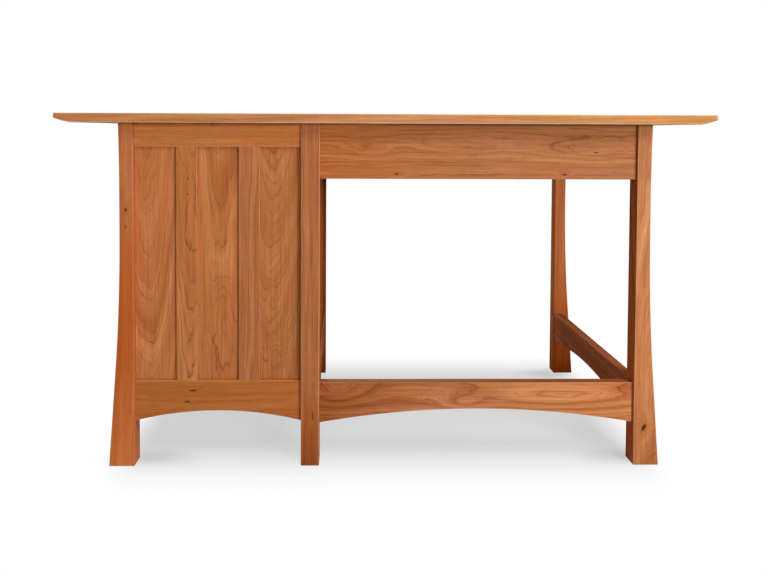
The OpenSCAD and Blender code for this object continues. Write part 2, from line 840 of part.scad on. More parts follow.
desktop();
leg_back_pedestal();
leg_back_middle();
leg_back_open();
leg_front_pedestal();
leg_front_middle();
leg_front_open();
back_apron();
back_stretcher();
side_apron();
side_stretcher();
back_top_rail();
back_bottom_rail();
back_muntin_outer();
back_muntin_inner();
back_panel_outer();
back_panel_centre();
back_panel_inner();
side_top_rail();
side_bottom_rail();
side_muntins();
side_panels();
knee_side_top_rail();
knee_side_bottom_rail();
knee_side_panel();
drawer_top_rail();
upper_divider();
lower_divider();
front_bottom_rail();
knee_top_rail();
knee_lower_rail();
slide_cleats();
drawer_hangers();
tabletop_buttons();
top_screws();
slide_cases();
upper_slide_carriers();
middle_slide_carriers();
file_slide_carriers();
pencil_slide_carriers();
upper_slide_runners();
middle_slide_runners();
file_slide_runners();
pencil_slide_runners();
upper_drawer_front();
middle_drawer_front();
file_drawer_front();
pencil_drawer_front();
upper_drawer_box();
middle_drawer_box();
file_drawer_box();
pencil_drawer_box();
upper_drawer_bottom();
middle_drawer_bottom();
file_drawer_bottom();
pencil_drawer_bottom();
upper_drawer_knob();
middle_drawer_knob();
file_drawer_knob();
pencil_drawer_knobs();
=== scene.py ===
"""Study desk in oiled cherry: the boards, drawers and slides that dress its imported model."""

import logging
import math
import random
from collections.abc import Iterator, Sequence
from dataclasses import dataclass, field
from enum import Enum

import bpy
from mathutils import Matrix, Vector


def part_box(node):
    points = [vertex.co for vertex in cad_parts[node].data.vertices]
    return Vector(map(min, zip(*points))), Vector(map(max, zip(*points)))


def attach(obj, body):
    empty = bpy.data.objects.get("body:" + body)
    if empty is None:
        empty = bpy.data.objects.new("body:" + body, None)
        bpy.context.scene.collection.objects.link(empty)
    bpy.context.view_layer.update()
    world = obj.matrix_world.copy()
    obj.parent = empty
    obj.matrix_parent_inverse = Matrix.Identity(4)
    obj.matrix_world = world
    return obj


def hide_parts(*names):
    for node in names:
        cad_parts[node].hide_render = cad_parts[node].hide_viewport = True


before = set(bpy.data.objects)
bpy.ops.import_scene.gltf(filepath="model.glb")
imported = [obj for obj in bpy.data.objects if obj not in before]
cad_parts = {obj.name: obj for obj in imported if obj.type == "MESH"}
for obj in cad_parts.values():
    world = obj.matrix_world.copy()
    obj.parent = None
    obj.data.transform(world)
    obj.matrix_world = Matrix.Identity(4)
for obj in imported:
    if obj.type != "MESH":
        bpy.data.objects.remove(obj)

LOG = logging.getLogger("study_desk")
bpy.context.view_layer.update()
MM = 0.001
HAIR = MM / 10

Triple = tuple[float, float, float]
Colour = Triple
Pair = tuple[float, float]
Span = tuple[float, float, float, float]
Outline = list[tuple[float, float, bool]]
Faces = list[tuple[int, ...]]
Socket = bpy.types.NodeSocket
Feed = Socket | float | Sequence[float]


class Axis(Enum):
    """A direction of the desk's frame."""

    X = 0
    Y = 1
    Z = 2


class Facing(Enum):
    """A side of the desk that a board's face looks to."""

    BACK = (0.0, 1.0, 0.0)
    OPEN_SIDE = (-1.0, 0.0, 0.0)
    PEDESTAL_SIDE = (1.0, 0.0, 0.0)
    ABOVE = (0.0, 0.0, 1.0)


class Slot(Enum):
    """The record's material slots."""

    TOP = "cherry_top"
    LEGS = "cherry_legs"
    RAILS = "cherry_rails"
    PANELS = "cherry_panels"
    FRONTS = "cherry_fronts"
    KNOBS = "cherry_knobs"
    MAPLE = "maple"
    PLYWOOD = "birch_plywood"
    STEEL = "steel"


def srgb(red: int, green: int, blue: int) -> Colour:
    """The linear colour of three display values.

    Args:
        red: Red from 0 to 255.
        green: Green from 0 to 255.
        blue: Blue from 0 to 255.

    Returns:
        The colour as a shader takes it.
    """
    shares = (value / 255 for value in (red, green, blue))
    return tuple(s / 12.92 if s < 0.04045 else ((s + 0.055) / 1.055) ** 2.4 for s in shares)


@dataclass(frozen=True)
class Pattern:
    """A soft pattern: how often it changes in a metre across the grain and along it."""

    across: float
    along: float
    detail: float = 2.0
    roughness: float = 0.5
    axis: Axis = Axis.Z

    @property
    def scales(self) -> tuple[float, ...]:
        """How often it changes in a metre along each axis."""
        return tuple(self.along if axis is self.axis else self.across for axis in Axis)


class Graph:
    """The node tree of a material or of the world, built node by node."""

    def __init__(self, owner: bpy.types.Material | bpy.types.World) -> None:
        """Starts with an empty tree.

        Args:
            owner: What the tree belongs to.
        """
        owner.use_nodes = True
        self.owner = owner
        self.tree = owner.node_tree
        self.tree.nodes.clear()

    def add(self, kind: str, feeds: dict[str | int, Feed] | None = None,
            **settings: object) -> bpy.types.Node:
        """Adds a node.

        Args:
            kind: The node's type without its ShaderNode prefix.
            feeds: What goes into its sockets, by name or number.
            settings: The node's own settings.

        Returns:
            The node.
        """
        node = self.tree.nodes.new("ShaderNode" + kind)
        for key, value in settings.items():
            setattr(node, key, value)
        for key, value in (feeds or {}).items():
            socket = node.inputs[key]
            if isinstance(value, Socket):
                self.tree.links.new(value, socket)
            else:
                socket.default_value = value
        return node

    def math(self, operation: str, *terms: Feed, clamp: bool = False) -> Socket:
        """The result of a Math node on one to three terms."""
        return self.add("Math", dict(enumerate(terms)), operation=operation, use_clamp=clamp).outputs[0]

    def times(self, first: Feed, second: Feed) -> Socket:
        """The product of two numbers."""
        return self.math("MULTIPLY", first, second)

    def total(self, first: Feed, *others: Feed) -> Feed:
        """The sum of some numbers, added in order.

        Args:
            first: The first number.
            others: What is added to it.

        Returns:
            The sum.
        """
        for other in others:
            first = self.math("ADD", first, other)
        return first

    def vector(self, operation: str, *terms: Feed) -> Socket:
        """The vector result of a Vector Math node."""
        return self.add("VectorMath", dict(enumerate(terms)), operation=operation).outputs["Vector"]

    def scaled(self, vector: Feed, share: Feed) -> Socket:
        """A vector or colour times a number."""
        return self.add("VectorMath", {0: vector, "Scale": share}, operation="SCALE").outputs["Vector"]

    def length(self, vector: Feed) -> Socket:
        """The length of a vector."""
        return self.add("VectorMath", {0: vector}, operation="LENGTH").outputs["Value"]

    def span(self, value: Feed, low: float, high: float, to_low: float, to_high: float) -> Socket:
        """A value carried smoothly from one range to another.

        Args:
            value: The value.
            low: Where the first range begins.
            high: Where it ends.
            to_low: What its beginning becomes.
            to_high: What its end becomes.

        Returns:
            The carried value.
        """
        feeds = {"Value": value, "From Min": low, "From Max": high, "To Min": to_low, "To Max": to_high}
        return self.add("MapRange", feeds, interpolation_type="SMOOTHSTEP").outputs["Result"]

    def noise(self, place: Feed, pattern: Pattern) -> Socket:
        """A soft pattern around 0.5 at a place in metres.

        Args:
            place: The place.
            pattern: The pattern.

        Returns:
            The pattern's strength there.
        """
        feeds = {"Vector": self.vector("MULTIPLY", place, pattern.scales), "Scale": 1.0,
                 "Detail": pattern.detail, "Roughness": pattern.roughness}
        return self.add("TexNoise", feeds, noise_dimensions="3D").outputs[0]

    def line_noise(self, place: Feed, detail: float) -> Socket:
        """Soft noise around 0.5 along one number."""
        feeds = {"W": place, "Scale": 1.0, "Detail": detail}
        return self.add("TexNoise", feeds, noise_dimensions="1D").outputs[0]

    def swing(self, noise: Feed, reach: float) -> Socket:
        """Noise around 0.5 made into a swing around 0 that mostly stays within a reach."""
        return self.times(self.math("SUBTRACT", noise, 0.5), 2 * reach)

    def ramp(self, share: Feed, stops: Sequence[tuple[float, Colour]]) -> Socket:
        """A colour between the stops of a ramp.

        Args:
            share: Where on the ramp.
            stops: Places from 0 to 1 with their colours.

        Returns:
            The colour.
        """
        node = self.add("ValToRGB", {0: share})
        ends = node.color_ramp.elements
        for _ in stops[2:]:
            ends.new(0.5)
        for end, (place, colour) in zip(ends, stops):
            end.position = place
            end.color = (*colour, 1)
        return node.outputs[0]

    def curve(self, share: Feed, stops: Sequence[Pair]) -> Socket:
        """A number between the stops of a ramp of greys."""
        return self.ramp(share, [(place, (value,) * 3) for place, value in stops])

    def mix(self, share: Feed, first: Feed, second: Feed) -> Socket:
        """A colour between two colours."""
        pair = [(*value, 1) if isinstance(value, tuple) else value for value in (first, second)]
        return self.add("Mix", {0: share, 6: pair[0], 7: pair[1]}, data_type="RGBA").outputs[2]

    def attribute(self, name: str) -> Socket:
        """A board's own coordinates or marks, as its mesh holds them."""
        return self.add("Attribute", attribute_name=name).outputs["Vector"]

    def parts(self, vector: Feed) -> list[Socket]:
        """The three numbers of a vector."""
        return list(self.add("SeparateXYZ", {0: vector}).outputs)

    def bump(self, height: Feed, strength: float, distance: float) -> Socket:
        """The bent normals of a relief."""
        return self.add("Bump", {"Height": height, "Strength": strength, "Distance": distance}).outputs[0]

    def finish(self, shader: bpy.types.Node) -> bpy.types.Material:
        """Ends a material's tree with a shader and gives the material."""
        self.add("OutputMaterial", {"Surface": shader.outputs[0]})
        return self.owner


class BoardGraph(Graph):
    """The node tree of a board's material, with the places that the board's mesh holds."""

    def __init__(self, name: str) -> None:
        """Starts the material.

        Args:
            name: The material's name.
        """
        super().__init__(bpy.data.materials.new(name))
        self.log = self.attribute("log")
        self.board = self.attribute("board")

    def grain(self, pattern: Pattern) -> Socket:
        """A pattern that runs through the log."""
        return self.noise(self.log, pattern)

    def spot(self, middle: Pair, reach: Pair, lean: float = 0.0) -> Socket:
        """A soft round spot on the face of a board, 1 in its middle.

        Args:
            middle: Its place across the board and along the grain.
            reach: How far it reaches across and along.
            lean: How far it leans across for each step along the grain.

        Returns:
            The spot's strength.
        """
        offset = self.vector("SUBTRACT", self.board, (middle[0], 0.0, middle[1]))
        if lean:
            aside = self.vector("MULTIPLY", (lean, 0.0, 0.0), self.parts(offset)[2])
            offset = self.vector("ADD", offset, aside)
        far = self.length(self.vector("MULTIPLY", offset, (1 / reach[0], 0.0, 1 / reach[1])))
        return self.math("POWER", math.e, self.times(self.times(far, far), -1.0))


@dataclass(frozen=True)
class Swell:
    """A place where the growth rings bulge out, which shows as ovals or as a bend in the figure."""

    across: float
    along: float
    width: float
    length: float
    height: float


@dataclass(frozen=True)
class Knot:
    """A small knot or gum pocket, dark in its middle, with the rings bent round it."""

    across: float
    along: float
    radius: float
    dark: float = 0.8
    stretch: float = 1.6
    lean: float = 0.0

    def reach(self, times: float = 1.0) -> Pair:
        """How far some times its size reaches across and along."""
        radius = times * self.radius
        return radius, radius * self.stretch


@dataclass(frozen=True)
class Shade:
    """How a place on a board differs from its wood, with painted light and shade: lighter, greyer and
    rosier than the rest.
    """

    tone: float = 0.0
    fade: float = 0.3
    blush: float = 0.0

    def toward(self, other: "Shade", share: float) -> "Shade":
        """The shade at a share of the way to another."""
        pairs = ((self.tone, other.tone), (self.fade, other.fade), (self.blush, other.blush))
        return Shade(*(first + (second - first) * share for first, second in pairs))

    def plus(self, other: "Shade") -> "Shade":
        """The shade with what another adds."""
        return Shade(self.tone + other.tone, self.fade + other.fade, self.blush + other.blush)


Shades = tuple[tuple[float, Shade], ...]


@dataclass(frozen=True)
class Figure:
    """How a board was cut from its log, and how its colour changes along it.

    The pith lies side and depth away from the board's middle, and the rings close in along the
    grain by taper. Lines and bands are how strongly the rings' edges and their colours show, and
    the wear is how much its arrises are rubbed pale, partly wear and partly a painted highlight.
    Shades stand at shares of the board's length, from its low end to its high end, and the faces
    that look to one side of the desk may have their own. Beside the wood's own tone, the shades
    paint light and shade: darker where shadow falls on a face and lighter where light falls on it.
    """

    side: float = 0.0
    depth: float = 0.05
    start: float = 0.0
    taper: float = 0.05
    wave: float = 18 * MM
    lines: float = 1.0
    bands: float = 1.0
    wear_and_highlight: float = 1.0
    shades: Shades = ((0.0, Shade()),)
    facing: tuple[tuple[Facing, Shades], ...] = ()
    swells: tuple[Swell, ...] = ()
    knots: tuple[Knot, ...] = ()

    @staticmethod
    def drawn(name: str) -> "Figure":
        """A figure that follows from a board's name, so that it is the same each time.

        Args:
            name: The board's name.

        Returns:
            The figure.
        """
        dice = random.Random(name)
        return Figure(
            side=dice.uniform(-0.03, 0.03),
            depth=dice.uniform(0.03, 0.08),
            start=dice.uniform(0, 50),
            taper=dice.choice((-1, 1)) * dice.uniform(0.03, 0.09),
            shades=((0.0, Shade(
                tone=dice.uniform(-0.08, 0.06),
                fade=dice.uniform(0.1, 0.5),
                blush=dice.uniform(-0.2, 0.2))),),
        )

    @property
    def is_plain(self) -> bool:
        """Whether the board needs nothing of its own in its material."""
        return not self.swells and not self.knots and self.lines == self.bands == 1.0

    def shares(self) -> set[float]:
        """Where along the board its shades stand."""
        sides = (self.shades, *(shades for _, shades in self.facing))
        return {share for shades in sides for share, _ in shades}

    def shade_at(self, share: float, normal: Vector, turned: float = 0.7) -> Shade:
        """The shade of a place on the board, with the painted light and shade of the side its face looks
        to.

        Args:
            share: The place along the board, from 0 at its low end to 1 at its high end.
            normal: The way that the face looks.
            turned: How squarely a face looks to a side of the desk to take that side's shades.

        Returns:
            The shade.
        """
        shades = next((own for side, own in self.facing if normal.dot(side.value) > turned), self.shades)
        for (start, first), (stop, second) in zip(shades, shades[1:]):
            if share <= stop:
                return first.toward(second, max(0.0, share - start) / (stop - start))
        return shades[-1][1]


# Beside each board's own tone, many of these shades paint light and shade: darker where shadow falls on a
# face, lighter where light falls on it.
FIGURES: dict[str, Figure] = {
    "back_panel_outer_board": Figure(
        side=-0.017, depth=0.045, start=3.1, taper=-0.12, shades=((0.0, Shade(0.06, 0.1, -0.05)),)),
    "back_panel_centre_board": Figure(
        side=0.011, depth=0.06, start=7.4, taper=-0.05, shades=((0.0, Shade(-0.02, 0.1, -0.14)),),
        swells=(Swell(-0.011, -0.12, 0.022, 0.11, 0.012), Swell(-0.032, 0.075, 0.008, 0.025, 0.006))),
    "back_panel_inner_board": Figure(
        side=-0.0226, depth=0.045, start=12.2, taper=-0.12, shades=((0.0, Shade(-0.1, 0.17, -0.15)),),
        swells=(Swell(0.02, -0.079, 0.012, 0.03, 0.006), Swell(0.014, -0.199, 0.012, 0.028, 0.007))),
    "back_muntin_outer_board": Figure(
        side=0.012, depth=0.05, start=16.8, taper=-0.05, shades=((0.0, Shade(0.08, 0.4, -0.18)),),
        swells=(Swell(-0.003, 0.17, 0.012, 0.05, 0.006),),
        knots=(Knot(-0.003, 0.185, 0.002), Knot(-0.003, 0.151, 0.0016))),
    "back_muntin_inner_board": Figure(
        side=0.045, depth=0.04, start=21.5, taper=0.02, shades=((0.0, Shade(-0.02, 0.6, 0.0)),)),
    # The top rail is lighter than its wood alone, partly as painted light against the desktop's shade.
    "back_top_rail_board": Figure(
        side=0.04, depth=0.3, start=25.3, taper=0.004, wave=8 * MM, lines=0.4, bands=0.7,
        shades=((0.0, Shade(0.1, 0.0, -0.4)), (0.5, Shade(0.19, 0.3, -0.4)),
                (1.0, Shade(0.18, 0.16, -0.45))),
        knots=(Knot(0.0225, 0.011, 0.0018, stretch=1.4),)),
    "back_bottom_rail_board": Figure(
        side=0.05, depth=0.07, start=29.9, taper=0.02, lines=0.35, bands=0.6,
        shades=((0.0, Shade(-0.07, -0.2, -0.4)),),
        knots=(Knot(0.022, 0.054, 0.0024, stretch=3.6), Knot(-0.0026, 0.067, 0.0019, stretch=3.6))),
    "back_apron_board": Figure(
        side=0.36, depth=1.0, start=34.6, taper=0.004, wave=6 * MM, lines=0.85, bands=1.3,
        shades=((0.0, Shade(-0.16, 1.0)), (0.5, Shade(-0.08, 0.98, -0.06)),
                (1.0, Shade(-0.09, 0.0, -0.2))),
        swells=(Swell(0.001, 0.235, 0.018, 0.055, 0.010), Swell(0.004, 0.03, 0.017, 0.11, 0.012),
                Swell(0.001, -0.255, 0.024, 0.15, 0.019)),
        knots=(Knot(-0.049, -0.186, 0.0022, stretch=2.4),
               Knot(-0.049, 0.177, 0.0021, stretch=2.6), Knot(-0.001, -0.254, 0.0015, stretch=5))),
    # Lighter toward the open side, partly the wood and partly painted light; its top face is darker with
    # painted shade under the desktop.
    "back_stretcher_board": Figure(
        side=0.2, depth=0.55, start=38.2, taper=0.004, wave=7 * MM, lines=1.1, bands=1.6,
        shades=((0.0, Shade(0.28, 0.72, -0.1)), (0.3, Shade(0.27, 0.7, -0.1)), (0.6, Shade(0.18, 1.0)),
                (0.85, Shade(-0.2, 0.12)), (1.0, Shade(-0.36, -0.42))),
        facing=((Facing.ABOVE, ((0.0, Shade(-0.46, 0.1)),)),),
        swells=(Swell(0.013, -0.187, 0.026, 0.175, 0.0255), Swell(0.03, 0.3, 0.033, 0.062, 0.025),
                Swell(0.0, 0.025, 0.016, 0.045, 0.016)),
        knots=(Knot(0.009, 0.122, 0.0013, 0.6),)),
    "leg_back_pedestal_board": Figure(
        side=0.08, depth=0.05, start=43.7, taper=0.02, lines=0.5, bands=0.6, wear_and_highlight=0.3,
        shades=((0.0, Shade(0.03, 0.0)),),
        facing=(
            (Facing.BACK, (
                (0.0, Shade(0.28, -0.2, -0.25)), (0.16, Shade(0.2, -0.25, -0.15)),
                (0.3, Shade(-0.04, -1.0, 0.2)), (0.55, Shade(-0.05, -1.0, 0.2)),
                (0.78, Shade(0.11, 0.35, 0.1)))),
            # Painted light: the inner face of the foot is lighter.
            (Facing.OPEN_SIDE, (
                (0.0, Shade(0.3, 0.1)), (0.18, Shade(0.3, 0.1)), (0.3, Shade(0.03, 0.0))))),
        knots=(Knot(-0.012, 0.185, 0.0024, 0.95), Knot(-0.012, 0.148, 0.0016))),
    # Painted shade: the back of the foot and the open-side face are darker.
    "leg_back_middle_board": Figure(
        side=0.09, depth=0.05, start=47.5, taper=0.012, wear_and_highlight=1.3, shades=((0.0, Shade(-0.08, 0.1)),),
        facing=(
            (Facing.BACK, (
                (0.0, Shade(-0.42, -0.6)), (0.1, Shade(-0.26, -0.25)), (0.17, Shade(-0.15, 0.0)),
                (0.22, Shade(-0.08, 0.45)), (0.7, Shade(-0.07, 0.55)), (0.85, Shade(-0.1, 0.5, 0.1)))),
            (Facing.OPEN_SIDE, ((0.0, Shade(-0.3, -0.8)),))),
        knots=(Knot(-0.006, -0.262, 0.0012, 0.7, 9),)),
    # The back face's lighter middle is partly wood and partly painted light; the inner face has painted
    # shade.
    "leg_back_open_board": Figure(
        side=0.02, depth=0.03, start=52.9, taper=0.06, lines=0.6, shades=((0.0, Shade(0.04, 0.4)),),
        facing=(
            (Facing.BACK, (
                (0.0, Shade(0.05, 0.53, -0.1)), (0.2, Shade(0.15, 0.7, -0.1)),
                (0.4, Shade(0.22, 0.95, -0.1)), (0.7, Shade(0.1, 1.05, -0.1)),
                (0.85, Shade(-0.02, 1.1)), (1.0, Shade(-0.12, 1.15)))),
            (Facing.PEDESTAL_SIDE, ((0.0, Shade(-0.14, -0.8, 0.2)),))),
        knots=(Knot(0.0055, -0.288, 0.0046, 0.95, 1.8, lean=0.35),
               Knot(-0.0116, -0.281, 0.0013, 0.6, 2))),
    # Painted shadow: the back of the foot and the inner face are darker where the stretchers' shadow falls.
    "leg_front_open_board": Figure(
        side=0.06, depth=0.05, start=57.1, taper=0.02, lines=0.5, bands=0.7,
        shades=((0.0, Shade(0.0, 0.2)),),
        facing=(
            (Facing.BACK, (
                (0.0, Shade(-0.79, -1.96, 1.5)), (0.1, Shade(-0.73, -1.8, 1.4)),
                (0.29, Shade(-0.19, -0.55)), (0.48, Shade(-0.02, 0.05)), (0.7, Shade(0.07, 0.2)))),
            (Facing.PEDESTAL_SIDE, ((0.0, Shade(-0.5, -1.4, 0.6)), (0.28, Shade(-0.1, -0.4)))))),
    # Painted shade: the open-side and back faces are darker inside the knee space.
    "leg_front_middle_board": Figure(
        side=0.05, depth=0.06, start=61.3, taper=-0.03, shades=((0.0, Shade(-0.02, 0.2)),),
        facing=((Facing.OPEN_SIDE, ((0.0, Shade(-0.56, -1.5)),)),
                (Facing.BACK, ((0.0, Shade(-0.5, -1.3)),)))),
    # Painted shade: the knee side's panel and rails are darker inside the knee space.
    "knee_side_panel_board": Figure(
        side=0.1, depth=0.09, start=66.2, taper=0.05, shades=((0.0, Shade(-0.36, -1.3, -0.2)),)),
    "knee_side_bottom_rail_board": Figure(
        side=0.03, depth=0.07, start=27.4, taper=-0.07, shades=((0.0, Shade(-0.4, -1.2)),)),
    "knee_side_top_rail_board": Figure(
        side=0.013, depth=0.04, start=37.8, taper=-0.06, shades=((0.0, Shade(-0.3, -0.8)),)),
    # Its top face is darker with painted shade under the apron and desktop.
    "side_stretcher_board": Figure(
        side=0.03, depth=0.07, start=69.1, taper=0.03, shades=((0.0, Shade(-0.04, 0.3, 0.1)),),
        facing=((Facing.ABOVE, ((0.0, Shade(-0.35, -0.25, 0.3)),)),)),
    "desktop_board stave 4": Figure(
        side=-0.26, depth=0.05, start=72.7, taper=0.03,
        shades=((0.0, Shade(-0.3, 0.2, -0.3)), (0.5, Shade(-0.16, 0.4, 0.2)),
                (1.0, Shade(-0.19, 0.0, 0.4)))),
}


@dataclass(frozen=True)
class Wood:
    """A wood and its oil finish.

    A span carries a pattern's strengths smoothly from one range to another. A strength says how
    much a pattern changes the colour, the relief or the shine.
    """

    name: str
    pale: Colour
    middle: Colour
    deep: Colour
    line: Colour
    knot: Colour = srgb(120, 84, 50)
    golden: Colour = (1.0, 1.06, 0.84)
    rosy: Colour = (1.03, 0.93, 1.12)
    faded: Colour = (-0.10, 0.12, 0.45)
    # The arrises' pale colour and how much of it they take: partly wear, partly a painted highlight.
    worn_highlight: Colour = srgb(216, 164, 122)
    rub_and_highlight: float = 0.4
    colour_stops: Triple = (0.30, 0.5, 0.72)
    line_strength: float = 0.85
    band_strength: float = 0.5
    fibre_strength: float = 0.26
    streak_strength: float = 0.42
    mottle_strength: float = 0.08
    cloud_strength: float = 0.10
    hue_strength: float = 0.55
    pore_strength: float = 0.3
    end_dark: float = 0.66

    ring: float = 3.4 * MM
    ring_line: tuple[Pair, ...] = ((0, 1), (0.08, 0.2), (0.4, 0.0), (0.84, 0.16), (0.97, 1))
    year_step: float = 0.73
    year_span: Span = (0.34, 0.64, 0.15, 1.0)
    gap_span: Span = (0.3, 0.6, 0.4, 1.0)
    band_step: float = 0.31
    band_detail: float = 3.0
    band_cloud: float = 0.14
    ripple: float = 2.8 * MM
    knot_bend: float = 3.0
    knot_lift: float = 4.0
    knot_span: Span = (0.15, 0.75, 0.0, 1.0)
    fleck_share: float = 0.10
    fleck_dark: float = 0.55
    fleck_span: Span = (0.03, 0.10, 1.0, 0.0)
    pore_span: Span = (0.60, 0.74, 0.0, 1.0)

    waves: Pattern = Pattern(7, 1.7, roughness=0.45)
    ripples: Pattern = Pattern(55, 14)
    gaps: Pattern = Pattern(45, 12)
    clouds: Pattern = Pattern(16, 5, detail=3.0)
    hues: Pattern = Pattern(42, 5, detail=3.0, roughness=0.6)
    streaks: Pattern = Pattern(240, 6, detail=3.0, roughness=0.6)
    fibres: Pattern = Pattern(900, 16, roughness=0.6)
    mottles: Pattern = Pattern(70, 55)
    pores: Pattern = Pattern(2600, 90, detail=1.0)
    flecks: Pattern = Pattern(75, 13)

    roughness: float = 0.42
    fibre_shine: float = 0.05
    line_shine: float = 0.05
    end_shine: float = 0.2
    gloss: float = 0.05
    fibre_relief: float = 0.6
    line_relief: float = 0.25
    pore_relief: float = 0.5
    bump_strength: float = 0.35
    bump_height: float = 0.15 * MM

    def material(self, figure: Figure, label: str) -> bpy.types.Material:
        """The material of a board, shared by all boards that have no marks of their own.

        Args:
            figure: How the board was cut.
            label: The board's name, for a material of its own.

        Returns:
            The material.
        """
        name = self.name if figure.is_plain else f"{self.name}_{label}"
        return bpy.data.materials.get(name) or self.make(name, figure)

    def make(self, name: str, figure: Figure) -> bpy.types.Material:
        """Builds the node tree: the log's colours, what lies over them, the relief and the shine.

        Args:
            name: The material's name.
            figure: How the board was cut.

        Returns:
            The material.
        """
        g = BoardGraph(name)
        taper, tone, blush = g.parts(g.attribute("cut"))
        end, arris, fade = g.parts(g.attribute("edge"))
        ring = g.math("DIVIDE", self.ring_distance(g, taper, figure), self.ring)
        line = self.ring_lines(g, ring)
        cloud = g.grain(self.clouds)
        fibre = g.grain(self.fibres)
        pore = g.span(g.grain(self.pores), *self.pore_span)

        colour = self.ring_colours(g, ring, cloud, figure)
        colour = g.mix(g.times(line, self.line_strength * figure.lines), colour, self.line)
        colour = self.aged(g, colour, blush, fade)
        colour = g.mix(g.times(pore, self.pore_strength), colour, self.line)
        for mask, dark in self.marks(g, figure):
            colour = g.mix(g.times(mask, dark), colour, self.knot)
        colour = g.mix(g.times(end, 1 - self.end_dark), colour, self.knot)
        # Arrises rubbed pale: partly wear, partly a painted highlight.
        colour = g.mix(g.times(arris, self.rub_and_highlight), colour, self.worn_highlight)
        streak_strength = self.streak_strength * min(1.0, figure.bands)
        light = g.total(
            1.0, g.swing(fibre, self.fibre_strength), g.swing(g.grain(self.streaks), streak_strength),
            g.swing(g.grain(self.mottles), self.mottle_strength), g.swing(cloud, self.cloud_strength))
        # The tone carries the board's shades, which include painted light and shade.
        colour = g.scaled(colour, g.times(light, g.total(tone, 1.0)))

        relief = g.total(g.times(fibre, self.fibre_relief), g.times(line, -self.line_relief),
                         g.times(pore, -self.pore_relief))
        shine = g.total(g.swing(fibre, self.fibre_shine), g.times(end, self.end_shine),
                        g.times(line, self.line_shine), self.roughness)
        normal = g.bump(relief, self.bump_strength, self.bump_height)
        feeds = {"Base Color": colour, "Roughness": shine, "Normal": normal,
                 "Specular IOR Level": 0.0, "Metallic": self.gloss}
        return g.finish(g.add("BsdfPrincipled", feeds))

    def ring_distance(self, g: BoardGraph, taper: Socket, figure: Figure) -> Socket:
        """How far a point lies from the pith, with the log's taper, waves, swells and knots.

        Args:
            g: The material's graph.
            taper: How fast the rings widen along the grain.
            figure: How the board was cut.

        Returns:
            The distance in metres.
        """
        bends = [g.times(g.parts(g.log)[2], taper), g.swing(g.grain(self.waves), figure.wave),
                 g.swing(g.grain(self.ripples), self.ripple)]
        for swell in figure.swells:
            spot = g.spot((swell.across, swell.along), (swell.width, swell.length))
            bends.append(g.times(spot, swell.height))
        for knot in figure.knots:
            spot = g.spot((knot.across, knot.along), knot.reach(self.knot_bend))
            bends.append(g.times(spot, self.knot_lift * knot.radius))
        return g.total(g.length(g.vector("MULTIPLY", g.log, (1, 1, 0))), *bends)

    def ring_lines(self, g: BoardGraph, ring: Socket) -> Socket:
        """The dark edges of the growth rings, stronger in some years and broken in places.

        Args:
            g: The material's graph.
            ring: How many rings lie between the point and the pith.

        Returns:
            The strength of the line.
        """
        line = g.curve(g.math("FRACT", ring), self.ring_line)
        year = g.line_noise(g.times(g.math("FLOOR", ring), self.year_step), 0.0)
        line = g.times(line, g.span(year, *self.year_span))
        return g.times(line, g.span(g.grain(self.gaps), *self.gap_span))

    def ring_colours(self, g: BoardGraph, ring: Socket, cloud: Socket, figure: Figure) -> Socket:
        """The broad bands of pale and deep wood.

        Args:
            g: The material's graph.
            ring: How many rings lie between the point and the pith.
            cloud: The clouds in the wood.
            figure: How the board was cut.

        Returns:
            The colour.
        """
        band = g.line_noise(g.times(ring, self.band_step), self.band_detail)
        band = g.total(band, g.swing(cloud, self.band_cloud))
        band = g.times(g.math("SUBTRACT", band, 0.5), self.band_strength * figure.bands)
        return g.ramp(g.total(band, 0.5), list(zip(self.colour_stops, (self.pale, self.middle, self.deep))))

    def aged(self, g: BoardGraph, colour: Socket, blush: Socket, fade: Socket) -> Socket:
        """A colour turned golden or rosy in places, and faded by the light.

        Args:
            g: The material's graph.
            colour: The colour.
            blush: How rosy the board is there.
            fade: How faded it is there.

        Returns:
            The changed colour.
        """
        hue = g.total(g.swing(g.grain(self.hues), self.hue_strength), blush)
        hue = g.math("ADD", hue, 0.5, clamp=True)
        colour = g.vector("MULTIPLY", colour, g.mix(hue, self.golden, self.rosy))
        return g.vector("MULTIPLY", colour, g.vector("ADD", g.scaled(self.faded, fade), (1, 1, 1)))

    def marks(self, g: BoardGraph, figure: Figure) -> Iterator[tuple[Socket, float]]:
        """The dark marks: the board's own knots, or else scattered gum flecks.

        Args:
            g: The material's graph.
            figure: How the board was cut.

        Returns:
            Each mark's mask in turn, with how dark it is.
        """
        if not figure.knots:
            place = g.vector("MULTIPLY", g.log, self.flecks.scales)
            cell = g.add("TexVoronoi", {"Vector": place, "Scale": 1.0}, feature="F1")
            near = g.span(cell.outputs["Distance"], *self.fleck_span)
            chosen = g.math("LESS_THAN", g.parts(cell.outputs["Color"])[0], self.fleck_share)
            yield g.times(near, chosen), self.fleck_dark
        for knot in figure.knots:
            spot = g.spot((knot.across, knot.along), knot.reach(), knot.lean)
            yield g.span(spot, *self.knot_span), knot.dark


